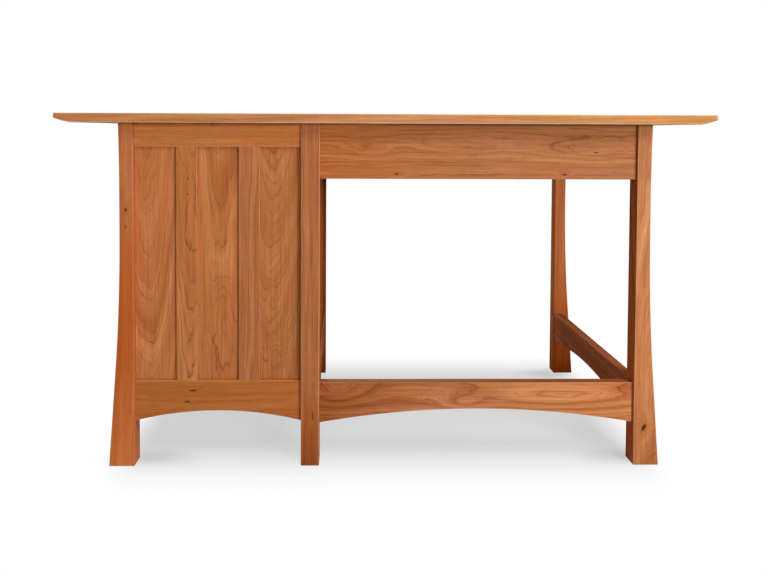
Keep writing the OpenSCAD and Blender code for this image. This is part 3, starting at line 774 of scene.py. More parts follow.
@dataclass(frozen=True)
class Plywood(Wood):
    """Thin plywood, with its layers showing on the edges."""

    layer: float = 1.5 * MM
    first_layer: float = 0.75
    colour_stops: Triple = (0.35, 0.5, 0.65)
    clouds: Pattern = Pattern(24, 3, detail=4.0)
    fibres: Pattern = Pattern(800, 14)
    fibre_shine: float = 0.06

    def make(self, name: str, figure: Figure) -> bpy.types.Material:
        """Builds the veneer's faint figure and the layers of the edges.

        Args:
            name: The material's name.
            figure: How the face veneer was cut; not used.

        Returns:
            The material.
        """
        g = BoardGraph(name)
        fibre = g.grain(self.fibres)
        depth = g.math("DIVIDE", g.parts(g.board)[1], 2 * self.layer)
        layer = g.math("GREATER_THAN", g.math("FRACT", g.total(depth, self.first_layer)), 0.5)
        stops = list(zip(self.colour_stops, (self.pale, self.middle, self.deep)))
        colour = g.mix(g.times(layer, self.line_strength), g.ramp(g.grain(self.clouds), stops), self.line)
        light = g.total(g.swing(fibre, self.fibre_strength), 1.0)
        shine = g.total(g.swing(fibre, self.fibre_shine), self.roughness)
        feeds = {"Base Color": g.scaled(colour, light), "Roughness": shine}
        return g.finish(g.add("BsdfPrincipled", feeds))


@dataclass(frozen=True)
class Steel:
    """Zinc-plated sheet steel, drawn along the slides."""

    name: str = "zinc_plated_steel"
    bright: Colour = srgb(196, 199, 203)
    dull: Colour = srgb(166, 169, 174)
    streaks: Pattern = Pattern(1600, 12, axis=Axis.Y)
    clouds: Pattern = Pattern(25, 9, axis=Axis.Y)
    streak_share: float = 0.6
    stops: Pair = (0.35, 0.65)
    roughness: float = 0.34
    streak_shine: float = 0.12
    bump_strength: float = 0.2
    bump_height: float = 0.05 * MM

    def material(self) -> bpy.types.Material:
        """Builds the brushed and faintly clouded metal, once.

        Returns:
            The material.
        """
        if self.name in bpy.data.materials:
            return bpy.data.materials[self.name]
        g = Graph(bpy.data.materials.new(self.name))
        place = g.add("TexCoord").outputs["Object"]
        streak = g.noise(place, self.streaks)
        cloud = g.noise(place, self.clouds)
        share = g.total(g.times(streak, self.streak_share), g.times(cloud, 1 - self.streak_share))
        colour = g.ramp(share, list(zip(self.stops, (self.dull, self.bright))))
        shine = g.total(g.swing(streak, self.streak_shine), self.roughness)
        feeds = {"Base Color": colour, "Roughness": shine, "Metallic": 1.0,
                 "Normal": g.bump(streak, self.bump_strength, self.bump_height)}
        return g.finish(g.add("BsdfPrincipled", feeds))


@dataclass(frozen=True)
class PlainMaple:
    """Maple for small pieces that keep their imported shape, with its grain along the desk's depth."""

    name: str = "maple_blocks"
    pale: Colour = srgb(226, 198, 156)
    deep: Colour = srgb(196, 158, 112)
    grain: Pattern = Pattern(90, 9, detail=4.0, roughness=0.6, axis=Axis.Y)
    stops: Pair = (0.35, 0.68)
    roughness: float = 0.5
    grain_shine: float = 0.1
    bump_strength: float = 0.2
    bump_height: float = 0.1 * MM

    def material(self) -> bpy.types.Material:
        """Builds the faint grain from the pieces' own places.

        Returns:
            The material.
        """
        g = Graph(bpy.data.materials.new(self.name))
        grain = g.noise(g.add("TexCoord").outputs["Object"], self.grain)
        colour = g.ramp(grain, list(zip(self.stops, (self.pale, self.deep))))
        shine = g.total(g.swing(grain, self.grain_shine), self.roughness)
        feeds = {"Base Color": colour, "Roughness": shine,
                 "Normal": g.bump(grain, self.bump_strength, self.bump_height)}
        return g.finish(g.add("BsdfPrincipled", feeds))


CHERRY = Wood(
    name="cherry",
    pale=srgb(203, 128, 80),
    middle=srgb(182, 106, 60),
    deep=srgb(160, 86, 45),
    line=srgb(128, 62, 30),
    knot=srgb(70, 30, 14),
)
CHERRY_PANEL = Wood(
    name="cherry_panel",
    pale=srgb(206, 134, 84),
    middle=srgb(186, 112, 66),
    deep=srgb(164, 90, 48),
    line=srgb(130, 65, 32),
    knot=srgb(72, 32, 15),
    line_strength=0.66,
)
CHERRY_TOP = Wood(
    name="cherry_top_boards",
    pale=srgb(222, 158, 104),
    middle=srgb(206, 140, 86),
    deep=srgb(186, 116, 66),
    line=srgb(150, 84, 44),
    knot=srgb(80, 36, 16),
    # A paler, stronger arris colour: partly wear, partly a painted highlight on the lower arrises.
    worn_highlight=srgb(252, 210, 166),
    rub_and_highlight=0.95,
    line_strength=0.6,
    streak_strength=0.4,
    hue_strength=0.8,
    end_dark=0.8,
)
CHERRY_TURNED = Wood(
    name="cherry_turned",
    pale=srgb(190, 112, 66),
    middle=srgb(168, 92, 50),
    deep=srgb(146, 74, 38),
    line=srgb(112, 52, 26),
    knot=srgb(64, 28, 13),
    roughness=0.32,
)
MAPLE = Wood(
    name="maple_boards",
    pale=srgb(232, 208, 170),
    middle=srgb(222, 194, 152),
    deep=srgb(206, 174, 130),
    line=srgb(178, 142, 100),
    worn_highlight=srgb(238, 220, 190),
    line_strength=0.3,
    streak_strength=0.07,
    hue_strength=0.2,
    fleck_share=0.02,
    end_dark=0.8,
    roughness=0.5,
)
PLYWOOD = Plywood(
    name="birch_veneer",
    pale=srgb(234, 214, 178),
    middle=srgb(226, 202, 162),
    deep=srgb(212, 184, 140),
    line=srgb(176, 142, 100),
    line_strength=0.6,
    roughness=0.5,
)
STEEL = Steel()
MAPLE_BLOCKS = PlainMaple()


def new_mesh(name: str, vertices: Sequence[Triple], faces: Faces,
             is_smooth: Sequence[bool] = ()) -> bpy.types.Mesh:
    """A mesh from its points and faces.

    Args:
        name: The mesh's name.
        vertices: The points, in place.
        faces: The numbers of each face's points.
        is_smooth: Whether each face is shaded smooth, or nothing where all are flat.

    Returns:
        The mesh.
    """
    mesh = bpy.data.meshes.new(name)
    mesh.from_pydata(vertices, [], faces)
    if is_smooth:
        mesh.polygons.foreach_set("use_smooth", is_smooth)
    mesh.update()
    return mesh


def put_in_desk(name: str, mesh: bpy.types.Mesh, finish: bpy.types.Material, slot: Slot, body: str,
                *nodes: str) -> None:
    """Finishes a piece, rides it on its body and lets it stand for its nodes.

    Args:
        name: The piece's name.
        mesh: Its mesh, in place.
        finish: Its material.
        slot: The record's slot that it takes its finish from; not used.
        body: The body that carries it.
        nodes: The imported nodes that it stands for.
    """
    mesh.materials.append(finish)
    piece = bpy.data.objects.new(name, mesh)
    bpy.context.scene.collection.objects.link(piece)
    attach(piece, body)
    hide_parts(*nodes)
    LOG.info("made %s, with %d faces, on %s", name, len(mesh.polygons), body)


def circle(turns: int) -> list[Pair]:
    """Even points round a circle of radius 1."""
    angles = (2 * math.pi * k / turns for k in range(turns))
    return [(math.cos(angle), math.sin(angle)) for angle in angles]


def ring_faces(size: int, rings: int, first: int = 0) -> Faces:
    """The faces that join rings of points, laid one after another, into a tube.

    Args:
        size: How many points each ring has.
        rings: How many rings there are.
        first: The number of the first ring's first point.

    Returns:
        The numbers of each face's points, ring by ring.
    """
    starts = [first + ring * size for ring in range(rings - 1)]
    turns = [(k, (k + 1) % size) for k in range(size)]
    return [(a + k, a + n, a + size + n, a + size + k) for a in starts for k, n in turns]


class GrainMap:
    """What each face corner of a mesh tells its wood, gathered corner by corner."""

    def __init__(self) -> None:
        """Starts empty lists."""
        self.rows: dict[str, list[float]] = {"log": [], "board": [], "cut": [], "edge": []}

    def add(self, figure: Figure, place: Triple, shade: Shade = Shade(), is_end: bool = False,
            wear_and_highlight: float = 0.0) -> None:
        """Adds a face corner.

        Args:
            figure: How the board or stave was cut.
            place: Its place across, through and along the board, from the middle.
            shade: How it differs from its wood, painted light and shade included.
            is_end: Whether its face is end grain.
            wear_and_highlight: How much its face is rubbed pale, partly wear and partly a painted
                highlight.
        """
        across, through, along = place
        self.rows["log"] += (across + figure.side, through + figure.depth, along + figure.start)
        self.rows["board"] += place
        self.rows["cut"] += (figure.taper, shade.tone, shade.blush)
        self.rows["edge"] += (float(is_end), wear_and_highlight, shade.fade)

    def write(self, mesh: bpy.types.Mesh) -> None:
        """Stores the lists on a mesh, as attributes of its face corners."""
        for name, values in self.rows.items():
            mesh.attributes.new(name, "FLOAT_VECTOR", "CORNER").data.foreach_set("vector", values)


@dataclass(frozen=True)
class Section:
    """A board's cross-section, square to its grain: its corners across its width and thickness."""

    at: float
    width: Pair
    thick: Pair
    radius: float
    least_radius: float = MM / 100

    def shrunk(self, at: float, inset: float) -> "Section":
        """The section drawn in on all sides, for an eased end.

        Args:
            at: Where it stands along the grain.
            inset: How far each side comes in.

        Returns:
            The smaller section.
        """
        (w0, w1), (t0, t1) = self.width, self.thick
        radius = max(self.radius - inset, self.least_radius)
        return Section(at, (w0 + inset, w1 - inset), (t0 + inset, t1 - inset), radius)

    def points(self, seams: Sequence[float], steps: int) -> Outline:
        """The outline, counter-clockwise.

        Args:
            seams: Places across the width where the outline needs a point.
            steps: Facets round each eased corner.

        Returns:
            Each point's place across and through the board, and whether an eased corner follows it.
        """
        r = self.radius
        (w0, w1), (t0, t1) = self.width, self.thick
        corners = [(w0 + r, t0 + r), (w1 - r, t0 + r), (w1 - r, t1 - r), (w0 + r, t1 - r)]
        outline = []
        for k, (w, t) in enumerate(corners):
            for step in range(steps + 1):
                turn = math.pi + math.pi / 2 * (k + step / steps)
                outline.append((w + r * math.cos(turn), t + r * math.sin(turn), step < steps))
            if k == 0:
                outline += [(seam, t0, False) for seam in seams]
            if k == 2:
                outline += [(seam, t1, False) for seam in reversed(seams)]
        return outline


@dataclass
class Board:
    """A board with eased arrises, square unless a kind of board shapes it.

    The grain runs along one axis, and the thickness is the way through the board's wide faces. The
    recess shade is a painted shade added along the board's edges and low end, where a frame's shadow
    falls on it.
    """

    name: str
    low: Vector
    high: Vector
    grain: Axis
    thickness: Axis
    wood: Wood
    slot: Slot
    node: str
    body: str = "desk"
    ease: float = 0.8 * MM
    end_ease: float = 0.15 * MM
    low_ease: float | None = None
    gather: Shade | None = None
    gather_reach: float = 7 * MM
    foot_shade_reach: float = 5 * MM
    gathers_both: bool = True
    seams: tuple[float, ...] = ()
    arc_steps: int = 3
    end_turned: float = 0.9

    @property
    def width_axis(self) -> Axis:
        """The axis across the board's width."""
        return next(axis for axis in Axis if axis not in (self.grain, self.thickness))

    @property
    def order(self) -> tuple[int, int, int]:
        """The numbers of the axes across, through and along the board."""
        return self.width_axis.value, self.thickness.value, self.grain.value

    def reach(self, axis: Axis) -> Pair:
        """The board's lowest and highest place along an axis."""
        return self.low[axis.value], self.high[axis.value]

    def places(self) -> list[float]:
        """Where along the grain the board needs a section: its ends, where its shades change, and where
        the painted shade along its low end stops.

        Returns:
            The places, from low to high.
        """
        first, last = self.reach(self.grain)
        shares = set().union(*(figure.shares() for figure in self.figures())) - {0.0, 1.0}
        foot = [first + self.foot_shade_reach] if self.gather else []
        return [first, *foot, *(first + (last - first) * share for share in sorted(shares)), last]

    def clear(self) -> Pair:
        """The reach across the board that its painted recess shade leaves alone.

        Returns:
            Its lowest and highest place.
        """
        low, high = self.reach(self.width_axis)
        if self.gather:
            low += self.gather_reach
        if self.gather and self.gathers_both:
            high -= self.gather_reach
        return low, high

    def columns(self) -> list[float]:
        """Where across its faces the board needs points: at its seams, and where its painted recess shade
        ends.
        """
        return sorted({*self.seams, *self.clear()} - {*self.reach(self.width_axis)})

    def section(self, at: float) -> Section:
        """The board's cross-section at a place along the grain."""
        return Section(at, self.reach(self.width_axis), self.reach(self.thickness), self.ease)

    def sections(self) -> list[Section]:
        """All cross-sections, with the easing of both ends.

        Returns:
            The sections, from low to high along the grain.
        """
        first, *inner, last = self.places()
        start = [self.section(first + step).shrunk(first + step, inset)
                 for step, inset in self.easing(self.low_ease or self.end_ease)]
        finish = [self.section(last - step).shrunk(last - step, inset)
                  for step, inset in reversed(self.easing(self.end_ease))]
        return start + [self.section(at) for at in inner] + finish

    def easing(self, radius: float) -> list[Pair]:
        """How far from a rounded end each step stands, with how far its sides come in."""
        turns = [math.pi / 2 * k / self.arc_steps for k in range(self.arc_steps + 1)]
        return [(radius * (1 - math.cos(turn)), radius * (1 - math.sin(turn))) for turn in turns]

    def figures(self) -> list[Figure]:
        """How the board was cut from its log, or each of its staves.

        Returns:
            One figure, or those of the staves from low to high across the width.
        """
        staves = [f"{self.name} stave {k}" for k in range(len(self.seams) + 1)]
        names = staves if self.seams else [self.name]
        return [FIGURES.get(name) or Figure.drawn(name) for name in names]

    def build(self) -> None:
        """Makes the board, its grain and its finish."""
        mesh = self.mesh()
        self.lay_grain(mesh)
        finish = self.wood.material(self.figures()[0], self.name)
        put_in_desk(self.name, mesh, finish, self.slot, self.body, self.node)

    def mesh(self) -> bpy.types.Mesh:
        """Joins the sections into a closed mesh whose eased arrises are smooth.

        Returns:
            The mesh, in place.
        """
        across, through, along = self.order
        columns = self.columns()
        rings = [(section.at, section.points(columns, self.arc_steps)) for section in self.sections()]
        vertices = []
        for at, outline in rings:
            for w, t, _ in outline:
                point = [0.0, 0.0, 0.0]
                point[across], point[through], point[along] = w, t, at
                vertices.append(tuple(point))
        outline, last = rings[0][1], len(rings) - 1
        size = len(outline)
        faces = ring_faces(size, len(rings))
        is_smooth = [row < self.arc_steps or row >= last - self.arc_steps or is_eased
                     for row in range(last) for _, _, is_eased in outline]
        for row, turn in ((0, -1), (last, 1)):
            faces += [tuple(row * size + k for k in cap)[::turn] for cap in self.caps(rings[row][1])]
        is_smooth += [False] * (len(faces) - len(is_smooth))
        if (through - across) % 3 != 1:
            faces = [face[::-1] for face in faces]
        return new_mesh(self.name, vertices, faces, is_smooth)

    def caps(self, outline: Outline) -> list[list[int]]:
        """The faces that close an end, one for each stave.

        Args:
            outline: The end's outline.

        Returns:
            The points of each face, by their numbers in the outline.
        """
        edges = [-math.inf, *self.seams, math.inf]
        sliver = MM / 1e6
        return [[k for k, (w, _, _) in enumerate(outline) if low - sliver <= w <= high + sliver]
                for low, high in zip(edges, edges[1:])]

    def wear_and_highlight(self, face: bpy.types.MeshPolygon) -> float:
        """How much a face is rubbed pale, partly wear and partly a painted highlight: 1 on an eased arris,
        0 on a flat face.
        """
        return float(face.use_smooth)

    def lay_grain(self, mesh: bpy.types.Mesh) -> None:
        """Gives each corner of each face its place in the log and on the board.

        Args:
            mesh: The board's mesh.
        """
        across, through, along = self.order
        figures = self.figures()
        middle, length = (self.low + self.high) / 2, self.high[along] - self.low[along]
        unshaded_low, unshaded_high = self.clear()
        foot = self.low[along] + self.foot_shade_reach
        grain = GrainMap()
        for face in mesh.polygons:
            figure = figures[sum(face.center[across] > seam for seam in self.seams)]
            is_end = abs(face.normal[along]) > self.end_turned
            wear_and_highlight = self.wear_and_highlight(face) * figure.wear_and_highlight
            for corner in face.vertices:
                point = mesh.vertices[corner].co
                offset = point - middle
                place = (offset[across], offset[through], offset[along])
                shade = figure.shade_at(place[2] / length + 0.5, face.normal)
                # Painted shade: darker along the edges and the low end, where the frame's shadow falls.
                is_unshaded = unshaded_low - MM < point[across] < unshaded_high + MM and point[along] >= foot - MM
                if self.gather and not is_unshaded:
                    shade = shade.plus(self.gather)
                grain.add(figure, place, shade, is_end, wear_and_highlight)
        grain.write(mesh)


@dataclass
class ArchedBoard(Board):
    """A level rail or stretcher whose lower edge rises in one long arc."""

    rise: float = 22 * MM
    arch_steps: int = 56

    def places(self) -> list[float]:
        """Even steps along the arc."""
        first, last = self.reach(self.grain)
        return [first + (last - first) * k / self.arch_steps for k in range(self.arch_steps + 1)]

    def section(self, at: float) -> Section:
        """The cross-section over the arc.

        Args:
            at: Its place along the grain.

        Returns:
            The section.
        """
        first, last = self.reach(self.grain)
        half = (last - first) / 2
        radius = (half ** 2 + self.rise ** 2) / (2 * self.rise)
        lift = math.sqrt(max(radius ** 2 - (at - first - half) ** 2, 0)) - (radius - self.rise)
        low, high = self.reach(Axis.Z)
        return Section(at, (low + max(lift, 0.0), high), self.reach(self.thickness), self.ease)


@dataclass
class FlaredLeg(Board):
    """A corner leg: straight inside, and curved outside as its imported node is."""

    profile: tuple[Pair, ...] = ()

    def places(self) -> list[float]:
        """The floor, the heights of the curve's points and the top of the leg."""
        return [self.low.z, *(z for z, _ in self.profile[:-1]), self.high.z]

    def section(self, at: float) -> Section:
        """The cross-section at a height, as wide as the outline says.

        Args:
            at: The height.

        Returns:
            The section.
        """
        outer = self.outer_at(at)
        low, high = self.reach(Axis.X)
        width = (low, outer) if outer > 0 else (outer, high)
        return Section(at, width, self.reach(self.thickness), self.ease)

    def outer_at(self, at: float) -> float:
        """How far out the leg reaches at a height.

        Args:
            at: The height.

        Returns:
            The place of its outer face.
        """
        for (z0, x0), (z1, x1) in zip(self.profile, self.profile[1:]):
            if at <= z1:
                break
        reach = x0 + (x1 - x0) * (at - z0) / (z1 - z0)
        return max(self.low.x, min(self.high.x, reach))


@dataclass
class BevelledTop(Board):
    """The desktop, glued up from staves and bevelled under both ends."""

    bevel_w: float = 35 * MM
    bevel_h: float = 9.5 * MM
    bevel_steps: int = 10
    bevel_bend: float = 1.35
    # The upper arrises take less of the pale colour, since their painted highlight is weaker.
    upper_wear_and_highlight: float = 0.35

    def places(self) -> list[float]:
        """Sections along both bevels, and where the shades change.

        Returns:
            The places, from low to high.
        """
        first, *inner, last = super().places()
        steps = [self.bevel_w * k / self.bevel_steps for k in range(self.bevel_steps + 1)]
        return [first + step for step in steps] + inner + [last - step for step in reversed(steps)]

    def section(self, at: float) -> Section:
        """The cross-section, thinner over the bevels.

        Args:
            at: Its place along the grain.

        Returns:
            The section.
        """
        first, last = self.reach(self.grain)
        share = max(0.0, 1 - min(at - first, last - at) / self.bevel_w)
        low, high = self.reach(self.thickness)
        lift = self.bevel_h * share ** self.bevel_bend
        return Section(at, self.reach(self.width_axis), (low + lift, high), self.ease)

    def wear_and_highlight(self, face: bpy.types.MeshPolygon) -> float:
        """How much a face is rubbed pale, partly wear and partly a painted highlight: most on the lower
        arrises, which catch the light.
        """
        return super().wear_and_highlight(face) * (self.upper_wear_and_highlight if face.normal.z > 0 else 1.0)


class Packed:
    """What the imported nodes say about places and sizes."""

    @staticmethod
    def corners(node: str) -> list[Vector]:
        """The places of a node's vertices."""
        return [vertex.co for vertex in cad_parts[node].data.vertices]

    @staticmethod
    def reach(node: str, axis: Axis) -> Pair:
        """A node's lowest and highest place along an axis."""
        low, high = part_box(node)
        return low[axis.value], high[axis.value]

    @staticmethod
    def between(node: str, axis: Axis, reach: Pair) -> tuple[Vector, Vector]:
        """A node's box with one reach replaced, such as from shoulder to shoulder.

        Args:
            node: The node.
            axis: The axis whose reach is replaced.
            reach: The new lowest and highest place.

        Returns:
            The lowest and highest corner.
        """
        low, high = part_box(node)
        low[axis.value], high[axis.value] = reach
        return low, high

    @staticmethod
    def part_box(node: str, low: Vector, high: Vector) -> tuple[Vector, Vector]:
        """The box of those of a node's vertices that lie inside another box.

        Args:
            node: The node.
            low: The other box's lowest corner.
            high: Its highest corner.

        Returns:
            The lowest and highest corner.
        """
        inside = [v for v in Packed.corners(node) if all(low[k] <= v[k] <= high[k] for k in range(3))]
        return tuple(Vector([end(v[k] for v in inside) for k in range(3)]) for end in (min, max))

    @staticmethod
    def leg_outline(node: str, foot: float, straight: float = 25 * MM) -> tuple[Pair, ...]:
        """The heights and outward places along a corner leg's curved face.

        Args:
            node: The leg's node.
            foot: The height of the bevel round its foot, which is left out.
            straight: How far outwards from its straight inner face every vertex is left out.

        Returns:
            The points from the foot to the top.
        """
        low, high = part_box(node)
        sign = 1 if low.x > 0 else -1
        least = min(abs(low.x), abs(high.x)) + straight
        widest: dict[float, float] = {}
        for v in Packed.corners(node):
            if abs(v.x) > least and v.z > 1.5 * foot:
                z = round(v.z, 6)
                widest[z] = max(widest.get(z, 0.0), abs(v.x))
        return tuple((z, sign * widest[z]) for z in sorted(widest))


@dataclass
class Planes:
    """Where the boards between the legs start and end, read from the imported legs."""

    pedestal: Pair = field(init=False)
    knee: Pair = field(init=False)
    depth: Pair = field(init=False)

    def __post_init__(self) -> None:
        """Reads the faces of the legs."""
        corner_x, corner_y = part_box("leg_back_pedestal")[0].xy
        self.pedestal = (Packed.reach("leg_back_middle", Axis.X)[1], corner_x)
        self.knee = (-corner_x, Packed.reach("leg_back_middle", Axis.X)[0])
        self.depth = (Packed.reach("leg_front_pedestal", Axis.Y)[1], corner_y)


def lay_rail(node: str, along: Axis, reach: Pair, thickness: Axis, ease: float, rise: float = 0.0) -> None:
    """Makes a cherry rail from shoulder to shoulder, arched below where it rises.

    Args:
        node: The node that it stands for.
        along: The axis that it lies along.
        reach: Where it starts and ends.
        thickness: The axis through its wide faces.
        ease: How far its arrises are eased.
        rise: How far its lower edge rises in the middle.
    """
    low, high = Packed.between(node, along, reach)
    shape = (f"{node}_board", low, high, along, thickness, CHERRY, Slot.RAILS, node)
    if rise:
        ArchedBoard(*shape, ease=ease, rise=rise).build()
    else:
        Board(*shape, ease=ease).build()


@dataclass
class Desktop:
    """The thin top."""

    node: str = "desktop"
    stave_count: int = 5
    ease: float = 1.5 * MM

    def build(self) -> None:
        """Makes the top with its bevels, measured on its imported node."""
        low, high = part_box(self.node)
        corners = Packed.corners(self.node)
        under = max(v.x for v in corners if v.z < low.z + HAIR)
        end_low = min(v.z for v in corners if v.x > high.x - HAIR)
        width = (high.y - low.y) / self.stave_count
        seams = tuple(low.y + width * k for k in range(1, self.stave_count))
        BevelledTop(
            f"{self.node}_board", low, high, Axis.X, Axis.Z, CHERRY_TOP, Slot.TOP, self.node,
            ease=self.ease, end_ease=self.ease, seams=seams,
            bevel_w=high.x - under, bevel_h=end_low - low.z).build()


@dataclass
class Legs:
    """The four flared corner legs and the two straight middle legs."""

    ease: float = 1.6 * MM
    foot: float = 2 * MM

    def build(self) -> None:
        """Makes all six legs."""
        for node in (f"leg_{side}_{place}" for side in ("back", "front") for place in ("pedestal", "open")):
            FlaredLeg(**self.shape(node), profile=Packed.leg_outline(node, self.foot)).build()
        for node in ("leg_back_middle", "leg_front_middle"):
            Board(**self.shape(node)).build()

    def shape(self, node: str) -> dict[str, object]:
        """What every leg is made of, and its size.

        Args:
            node: The leg's node.

        Returns:
            The fields of its board.
        """
        low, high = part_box(node)
        return {"name": f"{node}_board", "low": low, "high": high, "grain": Axis.Z, "thickness": Axis.Y,
                "wood": CHERRY, "slot": Slot.LEGS, "node": node, "ease": self.ease, "low_ease": self.foot}


@dataclass
class KneeSpan:
    """The aprons and stretchers round the knee space."""

    planes: Planes
    back_rise: float = 30 * MM
    side_rise: float = 28 * MM
    ease: float = 1.2 * MM

    def build(self) -> None:
        """Makes two aprons and two arched stretchers."""
        knee, depth = self.planes.knee, self.planes.depth
        lay_rail("back_apron", Axis.X, knee, Axis.Y, self.ease)
        lay_rail("back_stretcher", Axis.X, knee, Axis.Y, self.ease, self.back_rise)
        lay_rail("side_apron", Axis.Y, depth, Axis.X, self.ease)
        lay_rail("side_stretcher", Axis.Y, depth, Axis.X, self.ease, self.side_rise)


@dataclass
class PanelFrame:
    """One frame-and-panel side of the pedestal."""

    name: str
    along: Axis
    ends: Pair
    rise: float = 22 * MM
    ease: float = 0.9 * MM
    lip: float = 1 * MM

    @property
    def out(self) -> Axis:
        """The axis that the side faces along."""
        return Axis.Y if self.along is Axis.X else Axis.X

    @property
    def top_node(self) -> str:
        """The top rail's node."""
        return f"{self.name}_top_rail"

    @property
    def bottom_node(self) -> str:
        """The bottom rail's node."""
        return f"{self.name}_bottom_rail"

    def build_rails(self) -> None:
        """Makes the top rail and the arched bottom rail."""
        lay_rail(self.top_node, self.along, self.ends, self.out, self.ease)
        lay_rail(self.bottom_node, self.along, self.ends, self.out, self.ease, self.rise)

    def upright(self, name: str, node: str, sides: Pair, faces: Pair, **finish: object) -> None:
        """Makes a board that stands between the rails.

        Args:
            name: The piece's name.
            node: The node that it stands for.
            sides: Where its two sides are along the frame.
            faces: Where its two faces are.
            finish: The rest of its board's fields, such as its wood.
        """
        low = Vector((0, 0, Packed.reach(self.bottom_node, Axis.Z)[1] - self.lip))
        high = Vector((0, 0, Packed.reach(self.top_node, Axis.Z)[0] + self.lip))
        low[self.along.value], high[self.along.value] = sides
        low[self.out.value], high[self.out.value] = faces
        Board(name, low, high, Axis.Z, self.out, node=node, ease=self.ease, **finish).build()

    def muntin(self, name: str, node: str, sides: Pair) -> None:
        """Makes a muntin as thick as the rails."""
        faces = Packed.reach(self.top_node, self.out)
        self.upright(name, node, sides, faces, wood=CHERRY, slot=Slot.RAILS)

    def panel(self, name: str, node: str, sides: Pair, gather: Shade, gathers_both: bool = True) -> None:
        """Makes a panel whose edges lap into the frame.

        Args:
            name: The piece's name.
            node: The node that it stands for.
            sides: Where the opening's two sides are along the frame.
            gather: The painted shade added along its edges and low end, where the frame's shadow falls.
            gathers_both: Whether the painted shade runs along both sides, or the low side alone.
        """
        lapped = (sides[0] - self.lip, sides[1] + self.lip)
        self.upright(name, node, lapped, Packed.reach(node, self.out), wood=CHERRY_PANEL,
                     slot=Slot.PANELS, gather=gather, gathers_both=gathers_both)


@dataclass
class PedestalBack:
    """The panelled back of the pedestal: two rails, two muntins and three panels."""

    planes: Planes
    muntins: tuple[str, ...] = ("back_muntin_inner", "back_muntin_outer")
    panels: tuple[str, ...] = ("back_panel_inner", "back_panel_centre", "back_panel_outer")
    # Painted shade along each panel's low side and low end, where the muntins, legs and rails cast shadow.
    gather: Shade = Shade(-0.22, -0.8)

    def build(self) -> None:
        """Makes the back."""
        back = PanelFrame("back", Axis.X, self.planes.pedestal)
        back.build_rails()
        edges = [self.planes.pedestal[0]]
        for node in self.muntins:
            sides = Packed.reach(node, Axis.X)
            edges += sides
            back.muntin(f"{node}_board", node, sides)
        edges.append(self.planes.pedestal[1])
        for node, sides in zip(self.panels, zip(edges[::2], edges[1::2])):
            back.panel(f"{node}_board", node, sides, self.gather, gathers_both=False)


@dataclass
class OuterSide:
    """The panelled outer side of the pedestal."""

    planes: Planes
    panel_count: int = 4
    muntin_w: float = 45 * MM
    # Painted shade along both sides and the low end of each panel, in the recess by the frame.
    gather: Shade = Shade(-0.2, -0.5)

    def build(self) -> None:
        """Makes two rails, the panels and the muntins between them."""
        front_y, back_y = self.planes.depth
        side = PanelFrame("side", Axis.Y, self.planes.depth)
        side.build_rails()
        opening = (back_y - front_y - (self.panel_count - 1) * self.muntin_w) / self.panel_count
        for k in range(self.panel_count):
            start = front_y + k * (opening + self.muntin_w)
            side.panel(f"side_panel_{k + 1}", "side_panels", (start, start + opening), self.gather)
            if k:
                side.muntin(f"side_muntin_{k}", "side_muntins", (start - self.muntin_w, start))


@dataclass
class KneeSide:
    """The side of the pedestal that faces the knee space, with one wide panel."""

    planes: Planes
    # Painted shade along both sides and the low end of the panel, in the recess by the frame.
    gather: Shade = Shade(-0.2, -0.4)

    def build(self) -> None:
        """Makes two rails and the panel."""
        knee_side = PanelFrame("knee_side", Axis.Y, self.planes.depth)
        knee_side.build_rails()
        knee_side.panel("knee_side_panel_board", "knee_side_panel", self.planes.depth, self.gather)


@dataclass
class FrontFrame:
    """The rails round the drawers."""

    planes: Planes
    rise: float = 22 * MM
    ease: float = 0.8 * MM

    def build(self) -> None:
        """Makes the level rails and the arched bottom rail."""
        pedestal, knee = self.planes.pedestal, self.planes.knee
        for node in ("drawer_top_rail", "upper_divider", "lower_divider"):
            lay_rail(node, Axis.X, pedestal, Axis.Z, self.ease)
        for node in ("knee_top_rail", "knee_lower_rail"):
            lay_rail(node, Axis.X, knee, Axis.Z, self.ease)
        lay_rail("front_bottom_rail", Axis.X, pedestal, Axis.Y, self.ease, self.rise)


@dataclass
class DrawerCarriage:
    """The boards that carry the slides: cleats in the pedestal and hangers at the pencil drawer."""

    cleat_h: float = 36 * MM
    hanger_t: float = 20 * MM

    def build(self) -> None:
        """Makes three cleats and two hangers."""
        for name in ("upper", "middle", "file"):
            z = sum(Packed.reach(f"{name}_slide_carriers", Axis.Z)) / 2
            reach = (z - self.cleat_h / 2, z + self.cleat_h / 2)
            self.lay(f"{name}_slide_cleat", "slide_cleats", Axis.Z, reach)
        x0, x1 = Packed.reach("drawer_hangers", Axis.X)
        self.lay("open_side_drawer_hanger", "drawer_hangers", Axis.X, (x0, x0 + self.hanger_t))
        self.lay("knee_side_drawer_hanger", "drawer_hangers", Axis.X, (x1 - self.hanger_t, x1))

    @staticmethod
    def lay(name: str, node: str, axis: Axis, reach: Pair) -> None:
        """Makes one maple board, which is its node's whole size apart from one reach."""
        Board(name, *Packed.between(node, axis, reach), Axis.Y, Axis.X, MAPLE, Slot.MAPLE, node).build()


